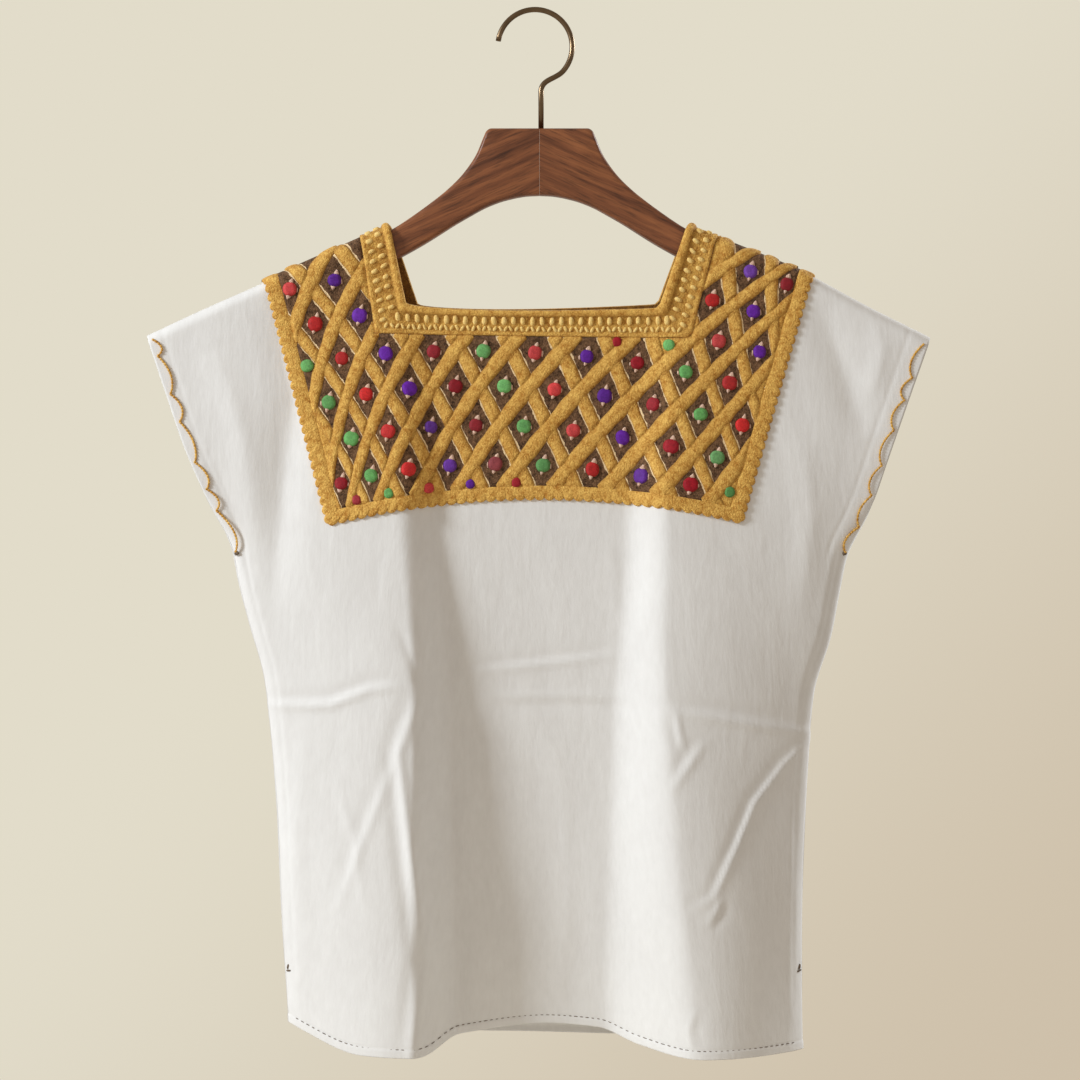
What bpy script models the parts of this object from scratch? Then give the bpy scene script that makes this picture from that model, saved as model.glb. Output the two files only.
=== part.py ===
"""Cotton blouse with an embroidered square yoke, hung on a two-piece wooden hanger.

Sizes are in millimetres until a mesh is made. X runs to the right across the front, Y to the
back and Z up. The origin is the underside of the hook's top, where a rail carries the hanger.
The cloth is a surface of two numbers: the share s of the way across, from left to right, and
the length q down the cloth from the shoulder ridge.
"""
import math

import bmesh
import bpy
import numpy as np

CLOTH = 1.2             # wall of the cotton
HEM_CLOTH = 2.0         # wall where the hem is turned twice
SEAM = 0.3              # gap between neighbouring pieces
SKIN_GAP = 0.7          # from a panel to the embroidery that lies on it
RIDGE_GAP = 1.1         # the same where straight facets pass over the round ridge
GROUND = 1.0            # embroidered ground of the yoke
ROPE_RISE = 1.5         # gold ropes above that ground
ROPE_SHARE = 0.12       # half a rope's width, as a share of the lattice pitch
KNOT_RADIUS = 4.7
KNOT_RISE = 1.9
KNOT_SIDES = 4
BORDER_RISE = 1.6
SCALLOP_PITCH = 7.6
SCALLOP_DEPTH = 2.0
RIDGE_RADIUS = 9.0      # roll of the cloth over the hanger's arm
SIDE_RADIUS = 12.0      # roll of the cloth at the side seam
CENTRE_X = 3.5          # middle of the garment and the hanger
ARCH = 0.00077          # embroidery rows droop by ARCH * x * x away from the middle
WOOD_THICK = 14.0
WIRE_RADIUS = 2.1
HOOK_RADIUS = 29.0

# Share of the way down, left edge X, right edge X.
EDGES = np.array([
    (0.00, -302.0, 307.5),
    (0.10, -284.0, 288.0),
    (0.16, -273.0, 276.5),
    (0.25, -252.0, 259.0),
    (0.31, -237.0, 243.5),
    (0.36, -231.5, 237.5),
    (0.42, -223.0, 231.0),
    (0.50, -211.0, 218.0),
    (0.56, -207.0, 214.5),
    (0.68, -202.0, 210.5),
    (0.83, -198.0, 208.5),
    (1.00, -192.0, 209.0),
])
# Share across, Z of the shoulder ridge; the two middle rows lie just inside the neck.
SHOULDER = np.array([
    (0.000, -252.0),
    (0.144, -211.5),
    (0.320, -164.1),
    (0.684, -165.3),
    (0.846, -205.0),
    (1.000, -254.0),
])
# Share across, Z of the hem.
FRONT_HEM = np.array([
    (0.00, -786.0),
    (0.15, -805.0),
    (0.27, -806.0),
    (0.335, -798.0),
    (0.50, -790.0),
    (0.60, -793.0),
    (0.68, -803.0),
    (0.80, -807.0),
    (1.00, -807.0),
])
BACK_HEM = np.array([
    (0.00, -786.0),
    (0.25, -800.0),
    (0.50, -802.0),
    (0.75, -805.0),
    (1.00, -807.0),
])
# Share down; shares across of the left peak, left foot, right foot and right peak of the two
# long folds; depth of the folds, of the middle between them and of the sides.
FRONT_FOLDS = np.array([
    (0.00, 0.300, 0.355, 0.640, 0.700, 9.5, 9.5, 9.5),
    (0.07, 0.300, 0.355, 0.640, 0.700, 10.0, 9.5, 10.0),
    (0.15, 0.290, 0.352, 0.640, 0.705, 14.0, 9.0, 10.0),
    (0.34, 0.272, 0.345, 0.640, 0.715, 25.0, 8.5, 9.0),
    (0.62, 0.262, 0.337, 0.630, 0.745, 37.0, 1.0, 8.0),
    (1.00, 0.245, 0.330, 0.608, 0.800, 50.0, -10.0, 8.0),
])
BACK_FOLDS = np.array([
    (0.00, 0.280, 0.400, 0.600, 0.720, 9.5, 9.5, 9.5),
    (0.07, 0.280, 0.400, 0.600, 0.720, 10.0, 9.5, 10.0),
    (0.15, 0.280, 0.400, 0.600, 0.720, 12.0, 10.0, 10.0),
    (0.34, 0.275, 0.400, 0.600, 0.725, 22.0, 16.0, 9.0),
    (0.62, 0.270, 0.395, 0.605, 0.735, 34.0, 28.0, 8.0),
    (1.00, 0.260, 0.390, 0.610, 0.745, 45.0, 38.0, 8.0),
])
# Share down, how far the front and back stand apart at the edge: sleeve ends, seam, side slits.
EDGE_OPEN = np.array([
    (0.00, 1.0),
    (0.22, 1.0),
    (0.31, 0.0),
    (0.93, 0.0),
    (1.00, 0.35),
])
ROLL = RIDGE_RADIUS * math.pi / 2           # length of cloth that turns over the ridge
LIFT = ROLL - RIDGE_RADIUS                  # how much of it the view from the front hides
RIDGE_SNAP = 1.5        # points found this close to the ridge are set on it
FIND_STEPS = 30


def smooth(x, table, column):
    """Monotone cubic through one column of a short table, with no overshoot between rows."""
    xs = table[:, 0]
    ys = table[:, column]
    step = np.diff(xs)
    rise = np.diff(ys) / step
    same = rise[:-1] * rise[1:] > 0
    slope = np.zeros_like(ys)
    total = np.where(same, rise[:-1] + rise[1:], 1.0)
    slope[1:-1] = np.where(same, 2 * rise[:-1] * rise[1:] / total, 0.0)
    slope[0] = rise[0]
    slope[-1] = rise[-1]
    x = np.clip(x, xs[0], xs[-1])
    k = np.clip(np.searchsorted(xs, x, side="right") - 1, 0, len(xs) - 2)
    u = (x - xs[k]) / step[k]
    start = ys[k] * (1 + 2 * u) * (1 - u) ** 2 + slope[k] * step[k] * u * (1 - u) ** 2
    end = ys[k + 1] * u * u * (3 - 2 * u) + slope[k + 1] * step[k] * u * u * (u - 1)
    return start + end


def ridge_z(s):
    """Height of the shoulder ridge at a share across."""
    return np.interp(s, SHOULDER[:, 0], SHOULDER[:, 1])


class Face:
    """One side of the garment: its sign along Y, its folds and its hem."""

    def __init__(self, sign, folds, hem):
        self.sign = sign
        self.folds = folds
        self.hem = hem

    def length(self, s):
        """Height from the shoulder ridge to the hem."""
        return ridge_z(s) - smooth(s, self.hem, 1)

    def q_at(self, s, share):
        """Cloth length from the ridge to a share of the way down."""
        return share * self.length(s) + LIFT

    def depth(self, s, t):
        """How far the cloth stands off the middle plane.

        A quarter sine rises from each side to its fold's peak, half a cosine falls from the
        peak to the fold's foot, and the middle between the feet is level.
        """
        left_peak, left_foot, right_foot, right_peak, lobe, middle, side = (
            smooth(t, self.folds, k) for k in range(1, 8))
        left_rise = side + (lobe - side) * np.sin(math.pi / 2 * np.clip(s / left_peak, 0, 1))
        right_rise = side + (lobe - side) * np.sin(
            math.pi / 2 * np.clip((1 - s) / (1 - right_peak), 0, 1))
        left_fall = np.clip((s - left_peak) / (left_foot - left_peak), 0, 1)
        right_fall = np.clip((right_peak - s) / (right_peak - right_foot), 0, 1)
        left = middle + (left_rise - middle) * (0.5 + 0.5 * np.cos(math.pi * left_fall))
        right = middle + (right_rise - middle) * (0.5 + 0.5 * np.cos(math.pi * right_fall))
        return np.where(s < 0.5, left, right)

    def point(self, s, q):
        """Point of the cloth's outer side."""
        turn = np.clip(q / RIDGE_RADIUS, 0, math.pi / 2)
        drop = RIDGE_RADIUS * (1 - np.cos(turn)) + np.maximum(q - ROLL, 0)
        t = drop / self.length(s)
        left = smooth(t, EDGES, 1)
        width = smooth(t, EDGES, 2) - left
        gape = smooth(t, EDGE_OPEN, 1)
        near = np.clip(np.minimum(s, 1 - s) * width / SIDE_RADIUS, 0, 1)
        side_roll = gape + (1 - gape) * np.sqrt(1 - (1 - near) ** 2)
        out = SEAM / 2 + self.depth(s, t) * np.sin(turn) * side_roll
        return np.stack([left + width * s, self.sign * out, ridge_z(s) - drop], -1)

    def offset(self, s, q, away):
        """Point at a distance from the outer side, along the cloth's normal."""
        ds = 1e-4
        dq = 0.05
        along = self.point(np.clip(s + ds, 0, 1), q) - self.point(np.clip(s - ds, 0, 1), q)
        down = self.point(s, q + dq) - self.point(s, np.maximum(q - dq, 0))
        normal = self.sign * np.cross(along, down)
        normal /= np.linalg.norm(normal, axis=-1, keepdims=True)
        return self.point(s, q) + normal * np.asarray(away)[..., None]

    def find(self, x, z):
        """Shares and lengths (s, q) of points given on the unrolled front view."""
        s = np.full(len(x), 0.5)
        for _ in range(FIND_STEPS):
            q = np.maximum(ridge_z(s) - z + LIFT, 0)
            turn = np.clip(q / RIDGE_RADIUS, 0, math.pi / 2)
            drop = RIDGE_RADIUS * (1 - np.cos(turn)) + np.maximum(q - ROLL, 0)
            t = drop / self.length(s)
            left = smooth(t, EDGES, 1)
            s = np.clip((x - left) / (smooth(t, EDGES, 2) - left), 0, 1)
        return s, np.where(q < RIDGE_SNAP, 0.0, q)


FRONT = Face(-1, FRONT_FOLDS, FRONT_HEM)
BACK = Face(1, BACK_FOLDS, BACK_HEM)


def ridge_flat(x):
    """Height of the ridge on the unrolled front view, at an X on the ridge."""
    return float(ridge_z((x - EDGES[0, 1]) / (EDGES[0, 2] - EDGES[0, 1]))) + LIFT


def arch(x):
    """Droop of the embroidery's rows at X."""
    return ARCH * (x - CENTRE_X) ** 2


def finish_object(name, bm, colour, roughness, metallic=0.0):
    """Turn a bmesh in millimetres into a named, coloured object in metres."""
    bmesh.ops.scale(bm, vec=(0.001, 0.001, 0.001), verts=bm.verts)
    mesh = bpy.data.meshes.new(name)
    bm.to_mesh(mesh)
    bm.free()
    material = bpy.data.materials.new(name)
    material.use_nodes = True
    shader = material.node_tree.nodes["Principled BSDF"]
    shader.inputs["Base Color"].default_value = (*colour, 1.0)
    shader.inputs["Roughness"].default_value = roughness
    shader.inputs["Metallic"].default_value = metallic
    mesh.materials.append(material)
    mesh.shade_smooth()
    obj = bpy.data.objects.new(name, mesh)
    bpy.context.scene.collection.objects.link(obj)
    return obj


def wall_from(outer, inner, faces, plain=(), ridges=()):
    """Closed wall from two point sets that share the faces of the outer side.

    The inner points listed in plain and the inner edges listed in ridges are left out, where
    only the outer side has finer form.
    """
    bm = bmesh.new()
    top = [bm.verts.new(p) for p in outer]
    low = [bm.verts.new(p) for p in inner]
    seen = {}
    for face in faces:
        bm.faces.new([top[k] for k in face])
        bm.faces.new([low[k] for k in reversed(face)])
        for a, b in zip(face, face[1:] + face[:1]):
            seen[(a, b)] = True
    for a, b in seen:
        if (b, a) not in seen:
            bm.faces.new([top[b], top[a], low[a], low[b]])
    bmesh.ops.dissolve_verts(bm, verts=[low[k] for k in plain])
    crests = [bm.edges.get((low[a], low[b])) for a, b in ridges]
    bmesh.ops.dissolve_edges(bm, edges=crests, use_verts=True)
    loose = [v for v in bm.verts if not v.link_faces]
    bmesh.ops.delete(bm, geom=loose, context="VERTS")
    return bm


# Panels: front and back, each cut in one with its halves of the cap sleeves.
COLUMNS = np.array([
    0, 0.008, 0.03, 0.07, 0.11, 0.145, 0.18, 0.215, 0.245, 0.272, 0.294, 0.312,
    0.328, 0.345, 0.362, 0.40, 0.45, 0.50, 0.55, 0.60, 0.622, 0.64, 0.658, 0.675, 0.692,
    0.715, 0.74, 0.775, 0.81, 0.85, 0.89, 0.935, 0.97, 0.992, 1])
NECK_COLUMNS = (0.312, 0.692)
RIDGE_ROWS = (0.0, ROLL / 3, 2 * ROLL / 3, ROLL)
NECK_ROW = 0.107
ROWS = (0.05, 0.08, NECK_ROW, 0.16, 0.21, 0.26, 0.31, 0.37, 0.46, 0.58, 0.74, 0.90, 0.99, 1.0)


def panel(name, face, colour):
    """Cotton wall with a square neck hole, thicker along its turned hem."""
    s = np.tile(COLUMNS, (len(RIDGE_ROWS) + len(ROWS), 1))
    q = np.stack([np.full(len(COLUMNS), row) for row in RIDGE_ROWS]
                 + [face.q_at(COLUMNS, row) for row in ROWS])
    wall = np.full(s.shape, CLOTH)
    wall[-2:] = HEM_CLOTH
    outer = face.offset(s, q, np.zeros(s.shape)).reshape(-1, 3)
    inner = face.offset(s, q, -wall).reshape(-1, 3)
    neck_row = len(RIDGE_ROWS) + ROWS.index(NECK_ROW)
    first, last = (int(np.flatnonzero(COLUMNS == edge)[0]) for edge in NECK_COLUMNS)
    count = len(COLUMNS)
    faces = []
    for row in range(len(s) - 1):
        for column in range(count - 1):
            if row < neck_row and first <= column < last:
                continue
            a = row * count + column
            quad = [a, a + count, a + count + 1, a + 1]
            faces.append(quad if face.sign < 0 else quad[::-1])
    finish_object(name, wall_from(outer, inner, faces), colour, 0.85)


# Yoke: gold ropes in a slanting lattice over a brown ground, with a knot in each diamond.
LATTICE_X = (15.1, 39.06, 14.6, -0.87, -0.166, 0.23)
LATTICE_V = (-294.6, -3.1, -31.4, 0.19, 0.045)
LATTICE_REACH = 9
LATTICE_SIDE = 7.6      # falling ropes kept on each side of the middle
LATTICE_BOX = (235.0, -400.0, -120.0)       # furthest X, lowest and highest flat height kept
YOKE_TOP_LEFT = (-198.6, -167.0)
YOKE_TOP_RIGHT = (203.4, -167.0)
YOKE_LOW_LEFT = (-149.1, -366.7)
YOKE_LOW_RIGHT = (149.1, -366.7)
# Neck band: inner and outer corners on the unrolled front view. The first and the last lie on
# the ridge, and their Z is worked out.
BAND_INNER = ((-113.5, 0), (-100.0, -227.5), (96.0, -231.0), (119.5, 0))
BAND_OUTER = ((-136.5, 0), (-124.0, -252.0), (121.0, -255.5), (142.5, 0))
BACK_INNER = ((-113.5, 0), (-92.0, -226.0), (96.0, -226.0), (119.5, 0))
BACK_OUTER = ((-136.5, 0), (-116.0, -250.0), (121.0, -250.0), (142.5, 0))
# Lines where the ground bends with the panel: shares across at the long folds, between two
# shares down, and lengths below the ridge between two X.
FOLD_LINES = (0.272, 0.294, 0.345, 0.64, 0.692, 0.715)
FOLD_SPAN = (0.14, 0.36)
RIDGE_LINES = (ROLL / 3, 2 * ROLL / 3, ROLL)
RIDGE_SPAN = (-200.0, 204.0)
NEAR_LINE = 1.0         # how far past a line's ends it still cuts
NEAR_RIDGE = 5.0
ON_LINE = 0.01
SHORT_EDGE = 0.15       # edges shorter than this are closed after the cuts


def lattice(p, q):
    """Flat place of lattice numbers: p counts the falling ropes and q the rising ones."""
    r = q - p
    base, across, lean, close, crowd, flare = LATTICE_X
    x = base + across * p + lean * r + close * p * r + crowd * p ** 3 + flare * p * r * r
    low, tilt, fall, spread, bow = LATTICE_V
    return x, low + tilt * p + fall * r + spread * p * r + bow * p ** 3


def ring_fan(corners, ring):
    """Triangles between the corners of a diamond and a ring inside it, both in turn order."""
    middle = ring.mean(0)
    reach = corners - middle
    corner_turn = np.arctan2(reach[:, 1], reach[:, 0])
    span = ring + np.roll(ring, -1, 0) - 2 * middle
    edge_turn = np.arctan2(span[:, 1], span[:, 0])
    gap = np.abs((edge_turn[:, None] - corner_turn[None] + math.pi) % (2 * math.pi) - math.pi)
    nearest = gap.argmin(1)
    found = []
    count = len(ring)
    for k in range(count):
        found.append(("ring", nearest[k], k, (k + 1) % count))
        following = nearest[(k + 1) % count]
        j = nearest[k]
        while j != following:
            found.append(("side", j, (j + 1) % 4, (k + 1) % count))
            j = (j + 1) % 4
    return found


def flat_lattice():
    """Flat mesh of ropes, floors and knots, with each point's rise in a float layer."""
    bm = bmesh.new()
    rise = bm.verts.layers.float.new("rise")
    lines = sorted(n + part for n in range(-LATTICE_REACH, LATTICE_REACH + 1)
                   for part in (-0.5, -0.5 + ROPE_SHARE, 0.5 - ROPE_SHARE))
    grid = {}
    knots = []

    def corner(p, q):
        if (p, q) not in grid:
            x, v = lattice(p, q)
            vert = bm.verts.new((x, v, 0))
            on_rope = (p % 1.0 == 0.5) or (q % 1.0 == 0.5)
            vert[rise] = ROPE_RISE if on_rope else 0.0
            grid[(p, q)] = vert
        return grid[(p, q)]

    for p0, p1 in zip(lines, lines[1:]):
        for q0, q1 in zip(lines, lines[1:]):
            x, v = lattice((p0 + p1) / 2, (q0 + q1) / 2)
            reach, lowest, highest = LATTICE_BOX
            if abs(x) > reach or not lowest <= v <= highest or abs(p0) > LATTICE_SIDE:
                continue
            quad = [corner(p0, q0), corner(p0, q1), corner(p1, q1), corner(p1, q0)]
            if p1 - p0 > 0.5 and q1 - q0 > 0.5:
                knots.append(knot(bm, rise, quad))
            else:
                bm.faces.new(quad)
    bmesh.ops.recalc_face_normals(bm, faces=bm.faces)
    return bm, knots


def whole_knot(group):
    """Points of a knot whose diamond no cut has crossed, or nothing."""
    corners, points = group
    if not all(v.is_valid for v in corners + points):
        return []
    around = {v for point in points for f in point.link_faces for v in f.verts}
    return points if around == set(corners + points) else []


def knot(bm, rise, quad):
    """A low dome in the middle of a diamond floor; returns its corners and its points."""
    points = np.array([v.co[:2] for v in quad])
    middle = points.mean(0)
    turn = points - middle
    order = np.argsort(np.arctan2(turn[:, 1], turn[:, 0]))
    quad = [quad[k] for k in order]
    points = points[order]
    angles = np.arange(KNOT_SIDES) * 2 * math.pi / KNOT_SIDES
    circle = np.stack([np.cos(angles), np.sin(angles)], 1)
    foot = middle + KNOT_RADIUS * circle
    foot_verts = [bm.verts.new((*p, 0)) for p in foot]
    peak = bm.verts.new((*middle, 0))
    peak[rise] = KNOT_RISE
    for kind, a, b, c in ring_fan(points, foot):
        if kind == "ring":
            bm.faces.new([quad[a], foot_verts[c], foot_verts[b]])
        else:
            bm.faces.new([quad[a], quad[b], foot_verts[c]])
    for k in range(KNOT_SIDES):
        bm.faces.new([foot_verts[k], foot_verts[(k + 1) % KNOT_SIDES], peak])
    return quad, foot_verts + [peak]


def cut(bm, a, b, clear=False, margin=None):
    """Cut the flat mesh along the line a to b.

    clear drops what lies left of the line; margin limits the cut to faces that reach into the
    box from a to b grown by it.
    """
    across = (-(b[1] - a[1]), b[0] - a[0], 0)
    faces = bm.faces[:]
    if margin is not None:
        low = [min(a[k], b[k]) - margin for k in (0, 1)]
        high = [max(a[k], b[k]) + margin for k in (0, 1)]
        faces = [f for f in faces
                 if all(max(v.co[k] for v in f.verts) > low[k]
                        and min(v.co[k] for v in f.verts) < high[k] for k in (0, 1))]
    edges = list({e for f in faces for e in f.edges})
    verts = list({v for f in faces for v in f.verts})
    bmesh.ops.bisect_plane(
        bm, geom=verts + edges + faces, dist=ON_LINE,
        plane_co=(*a, 0), plane_no=across, clear_outer=clear)


def on_ridge(corners):
    """Neck corners with the first and last set on the ridge."""
    first, *low, last = corners
    return [(first[0], ridge_flat(first[0])), *low, (last[0], ridge_flat(last[0]))]


def inside(point, corners):
    """True where a flat point lies within a convex outline given in anticlockwise order."""
    turned = corners[1:] + corners[:1]
    return all((b[0] - a[0]) * (point.y - a[1]) > (b[1] - a[1]) * (point.x - a[0])
               for a, b in zip(corners, turned))


def yoke(name, face, band_outer, colour):
    """Embroidered ground, cut to the yoke's outline round the neck band."""
    bm, knots = flat_lattice()
    rise = bm.verts.layers.float["rise"]
    crest = float(np.float32(ROPE_RISE))
    uncut = set(bm.verts)
    cut(bm, YOKE_LOW_LEFT, YOKE_TOP_LEFT, True)
    cut(bm, YOKE_LOW_RIGHT, YOKE_LOW_LEFT, True)
    cut(bm, YOKE_TOP_RIGHT, YOKE_LOW_RIGHT, True)
    for vert in bm.verts:
        vert.co.y -= arch(vert.co.x)
    window = [(x + SEAM * side, z - SEAM * down) for (x, z), side, down in zip(
        on_ridge(band_outer), (-1, -1, 1, 1), (0, 1, 1, 0))]
    for start, end in zip(window, window[1:]):
        cut(bm, start, end, margin=NEAR_LINE)
    ridge_x = (RIDGE_SPAN[0], window[0][0], window[3][0], RIDGE_SPAN[1])
    top = [(x, ridge_flat(x)) for x in ridge_x]
    for down in (0.0,) + RIDGE_LINES:
        low = [(x, z - down) for x, z in top]
        cut(bm, low[1], low[0], margin=NEAR_RIDGE)
        cut(bm, low[3], low[2], margin=NEAR_RIDGE)
    for share in FOLD_LINES:
        across = np.full(2, share)
        ends = face.point(across, face.q_at(across, np.array(FOLD_SPAN)))
        cut(bm, tuple(ends[0, [0, 2]]), tuple(ends[1, [0, 2]]), margin=NEAR_LINE)
    hole = [window[0], window[1], window[2], window[3], (window[3][0], 0), (window[0][0], 0)]
    drop = []
    for flat_face in bm.faces:
        at = flat_face.calc_center_median()
        line = top[:2] if at.x < CENTRE_X else top[2:]
        slope = (line[1][1] - line[0][1]) / (line[1][0] - line[0][0])
        above = at.y > line[0][1] + slope * (at.x - line[0][0])
        if above or inside(at, hole):
            drop.append(flat_face)
    bmesh.ops.delete(bm, geom=drop, context="FACES")
    bmesh.ops.dissolve_degenerate(bm, dist=SHORT_EDGE, edges=bm.edges)
    bm.verts.ensure_lookup_table()
    bm.verts.index_update()
    plain = [v.index for group in knots for v in whole_knot(group)]
    ridges = [(e.verts[0].index, e.verts[1].index) for e in bm.edges
              if len(e.link_faces) == 2 and all(v[rise] == crest for v in e.verts)
              and all(v in uncut for f in e.link_faces for v in f.verts)]
    flat = np.array([v.co[:2] for v in bm.verts])
    lift = np.array([v[rise] for v in bm.verts])
    order = 1 if face.sign < 0 else -1
    faces = [[v.index for v in f.verts][::order] for f in bm.faces]
    bm.free()
    s, q = face.find(flat[:, 0], flat[:, 1])
    outer = face.offset(s, q, SKIN_GAP + GROUND + lift)
    inner = face.offset(s, q, np.full(len(s), SKIN_GAP))
    finish_object(name, wall_from(outer, inner, faces, plain, ridges), colour, 0.9)


# Border: a scalloped band along the yoke's sides and lower edge.
BORDER_RIDGE = -164.0
BORDER_LEFT_TOP = (-211.6, BORDER_RIDGE)
BORDER_RIGHT_TOP = (216.6, BORDER_RIDGE)
BORDER_LOW_LEFT = (-159.5, -378.7)
BORDER_LOW_RIGHT = (159.0, -378.7)
SCALLOP_STEPS = 2
BORDER_GAP = 1.5 * SEAM


def border(name, face, colour):
    """Flat band whose outer edge is a row of small rounded scallops."""
    outer_path = np.array([BORDER_LEFT_TOP, BORDER_LOW_LEFT, BORDER_LOW_RIGHT, BORDER_RIGHT_TOP])
    inner_path = np.array([YOKE_TOP_LEFT, YOKE_LOW_LEFT, YOKE_LOW_RIGHT, YOKE_TOP_RIGHT])
    for end, corner in ((0, 1), (3, 2)):
        run = inner_path[corner] - inner_path[end]
        inner_path[end] -= run * (BORDER_RIDGE - inner_path[end, 1]) / -run[1]
    inner_path = inner_path + BORDER_GAP * np.array([(-1, 0), (-1, -1), (1, -1), (1, 0)])
    edge = []
    rail = []
    for a, b, c, d in zip(outer_path, outer_path[1:], inner_path, inner_path[1:]):
        along = b - a
        length = np.linalg.norm(along)
        outward = np.array([along[1], -along[0]]) / length
        count = round(length / SCALLOP_PITCH)
        share = np.arange(count * SCALLOP_STEPS) / (count * SCALLOP_STEPS)
        bulge = SCALLOP_DEPTH * np.abs(np.sin(math.pi * share * count))
        edge.append(a + share[:, None] * along + bulge[:, None] * outward)
        rail.append(c + share[:, None] * (d - c))
    edge = np.vstack(edge + [outer_path[-1:]])
    rail = np.vstack(rail + [inner_path[-1:]])[::SCALLOP_STEPS]
    flat = np.vstack([edge, rail])
    s, q = face.find(flat[:, 0], flat[:, 1] - arch(flat[:, 0]))
    outer = face.offset(s, q, np.full(len(s), SKIN_GAP + BORDER_RISE))
    inner = face.offset(s, q, np.where(q < 2 * ROLL, RIDGE_GAP, SKIN_GAP))
    faces = []
    for k in range(len(rail) - 1):
        first = k * SCALLOP_STEPS
        loop = list(range(first, first + SCALLOP_STEPS + 1))
        loop += [len(edge) + k + 1, len(edge) + k]
        faces.append(loop if face.sign < 0 else loop[::-1])
    finish_object(name, wall_from(outer, inner, faces), colour, 0.9)


# Neck band: one braid round the square neck, over both shoulders.
# Share across the band from its inner edge, height above the panel.
BAND_SECTION = np.array([
    (0.00, SKIN_GAP),
    (0.00, 2.8),
    (0.16, 4.0),
    (0.30, 2.8),
    (0.62, 3.3),
    (1.00, 2.4),
    (1.00, SKIN_GAP),
    (0.50, SKIN_GAP),
])
STRAP_SHARES = (0.0, 0.055, 0.11, 0.18, 0.30, 0.55, 0.80)
BAND_STEPS = 16


def band_path(inner, outer):
    """Pairs of inner and outer points down the left strap, across and up the right strap."""
    inner = np.array(inner)
    outer = np.array(outer)
    strap = np.array(STRAP_SHARES)
    lower = np.arange(BAND_STEPS) / BAND_STEPS
    rise = np.concatenate([[0.0], 1 - strap[::-1]])
    shares = (strap, lower, rise)
    return [np.vstack([path[k] + shares[k][:, None] * (path[k + 1] - path[k]) for k in range(3)])
            for path in (inner, outer)]


def neck_band(name, colour):
    """Closed ring of braid: a raised rim at the neck edge and a flatter worked band."""
    rings = []
    for face, inner, outer in ((FRONT, BAND_INNER, BAND_OUTER), (BACK, BACK_INNER, BACK_OUTER)):
        near, far = band_path(on_ridge(inner), on_ridge(outer))
        rows = []
        for share, height in BAND_SECTION:
            at = near + share * (far - near)
            s, q = face.find(at[:, 0], at[:, 1])
            rows.append(face.offset(s, q, np.full(len(s), height)))
        rings.append(np.stack(rows, 1))
    loop = np.concatenate([rings[0], rings[1][-2:0:-1]])
    bm = bmesh.new()
    verts = [[bm.verts.new(p) for p in row] for row in loop]
    count = len(BAND_SECTION)
    for row, following in zip(verts, verts[1:] + verts[:1]):
        for k in range(count):
            n = (k + 1) % count
            bm.faces.new([row[k], row[n], following[n], following[k]])
    bmesh.ops.recalc_face_normals(bm, faces=bm.faces)
    finish_object(name, bm, colour, 0.85)


# Hanger: two mirrored halves, upper edge from the middle to the end, then the lower edge back.
HANGER_HALF = (
    (0.0, -91.0), (39.0, -91.0), (42.5, -95.5), (49.0, -111.0), (60.0, -127.0), (84.5, -149.0),
    (115.0, -169.8), (160.0, -190.0), (203.0, -209.0), (208.0, -214.0), (208.0, -222.0),
    (203.0, -228.0), (194.0, -226.5), (150.0, -209.0), (106.0, -191.0), (60.5, -162.5),
    (29.0, -147.5), (0.0, -143.0))
WOOD_EDGE = 4.0
WOOD_EDGE_STEPS = 2


def hanger_half(name, side, colour):
    """Flat wooden half with rounded edges, square only where the halves meet."""
    bm = bmesh.new()
    shift = SEAM / 2
    rim = [bm.verts.new((CENTRE_X + side * (x + shift), -WOOD_THICK / 2, z))
           for x, z in HANGER_HALF]
    base = bm.faces.new(rim)
    grown = bmesh.ops.extrude_face_region(bm, geom=[base])
    moved = [g for g in grown["geom"] if isinstance(g, bmesh.types.BMVert)]
    bmesh.ops.translate(bm, verts=moved, vec=(0, WOOD_THICK, 0))
    bmesh.ops.recalc_face_normals(bm, faces=bm.faces)
    meeting = CENTRE_X + side * (shift + 0.01)
    rounded = [e for e in bm.edges
               if abs(e.verts[0].co.y - e.verts[1].co.y) < 0.01
               and any((v.co.x - meeting) * side > 0 for v in e.verts)]
    bmesh.ops.bevel(bm, geom=rounded, offset=WOOD_EDGE, segments=WOOD_EDGE_STEPS, profile=0.5,
                    affect="EDGES", clamp_overlap=True)
    finish_object(name, bm, colour, 0.35)


# Hook: bent wire, from its tip over the top and down into the hanger.
HOOK_TIP = math.radians(171)
HOOK_END = math.radians(-40)
HOOK_STEPS = 22
SHAFT_X = 4.7
SHAFT_TOP = -62.0
SHAFT_FOOT = -90.6
BEND_PULL = (9.0, 10.0)         # handles of the reverse bend, below the arc and above the shank
BEND_STEPS = 9
WIRE_SIDES = 8


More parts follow.
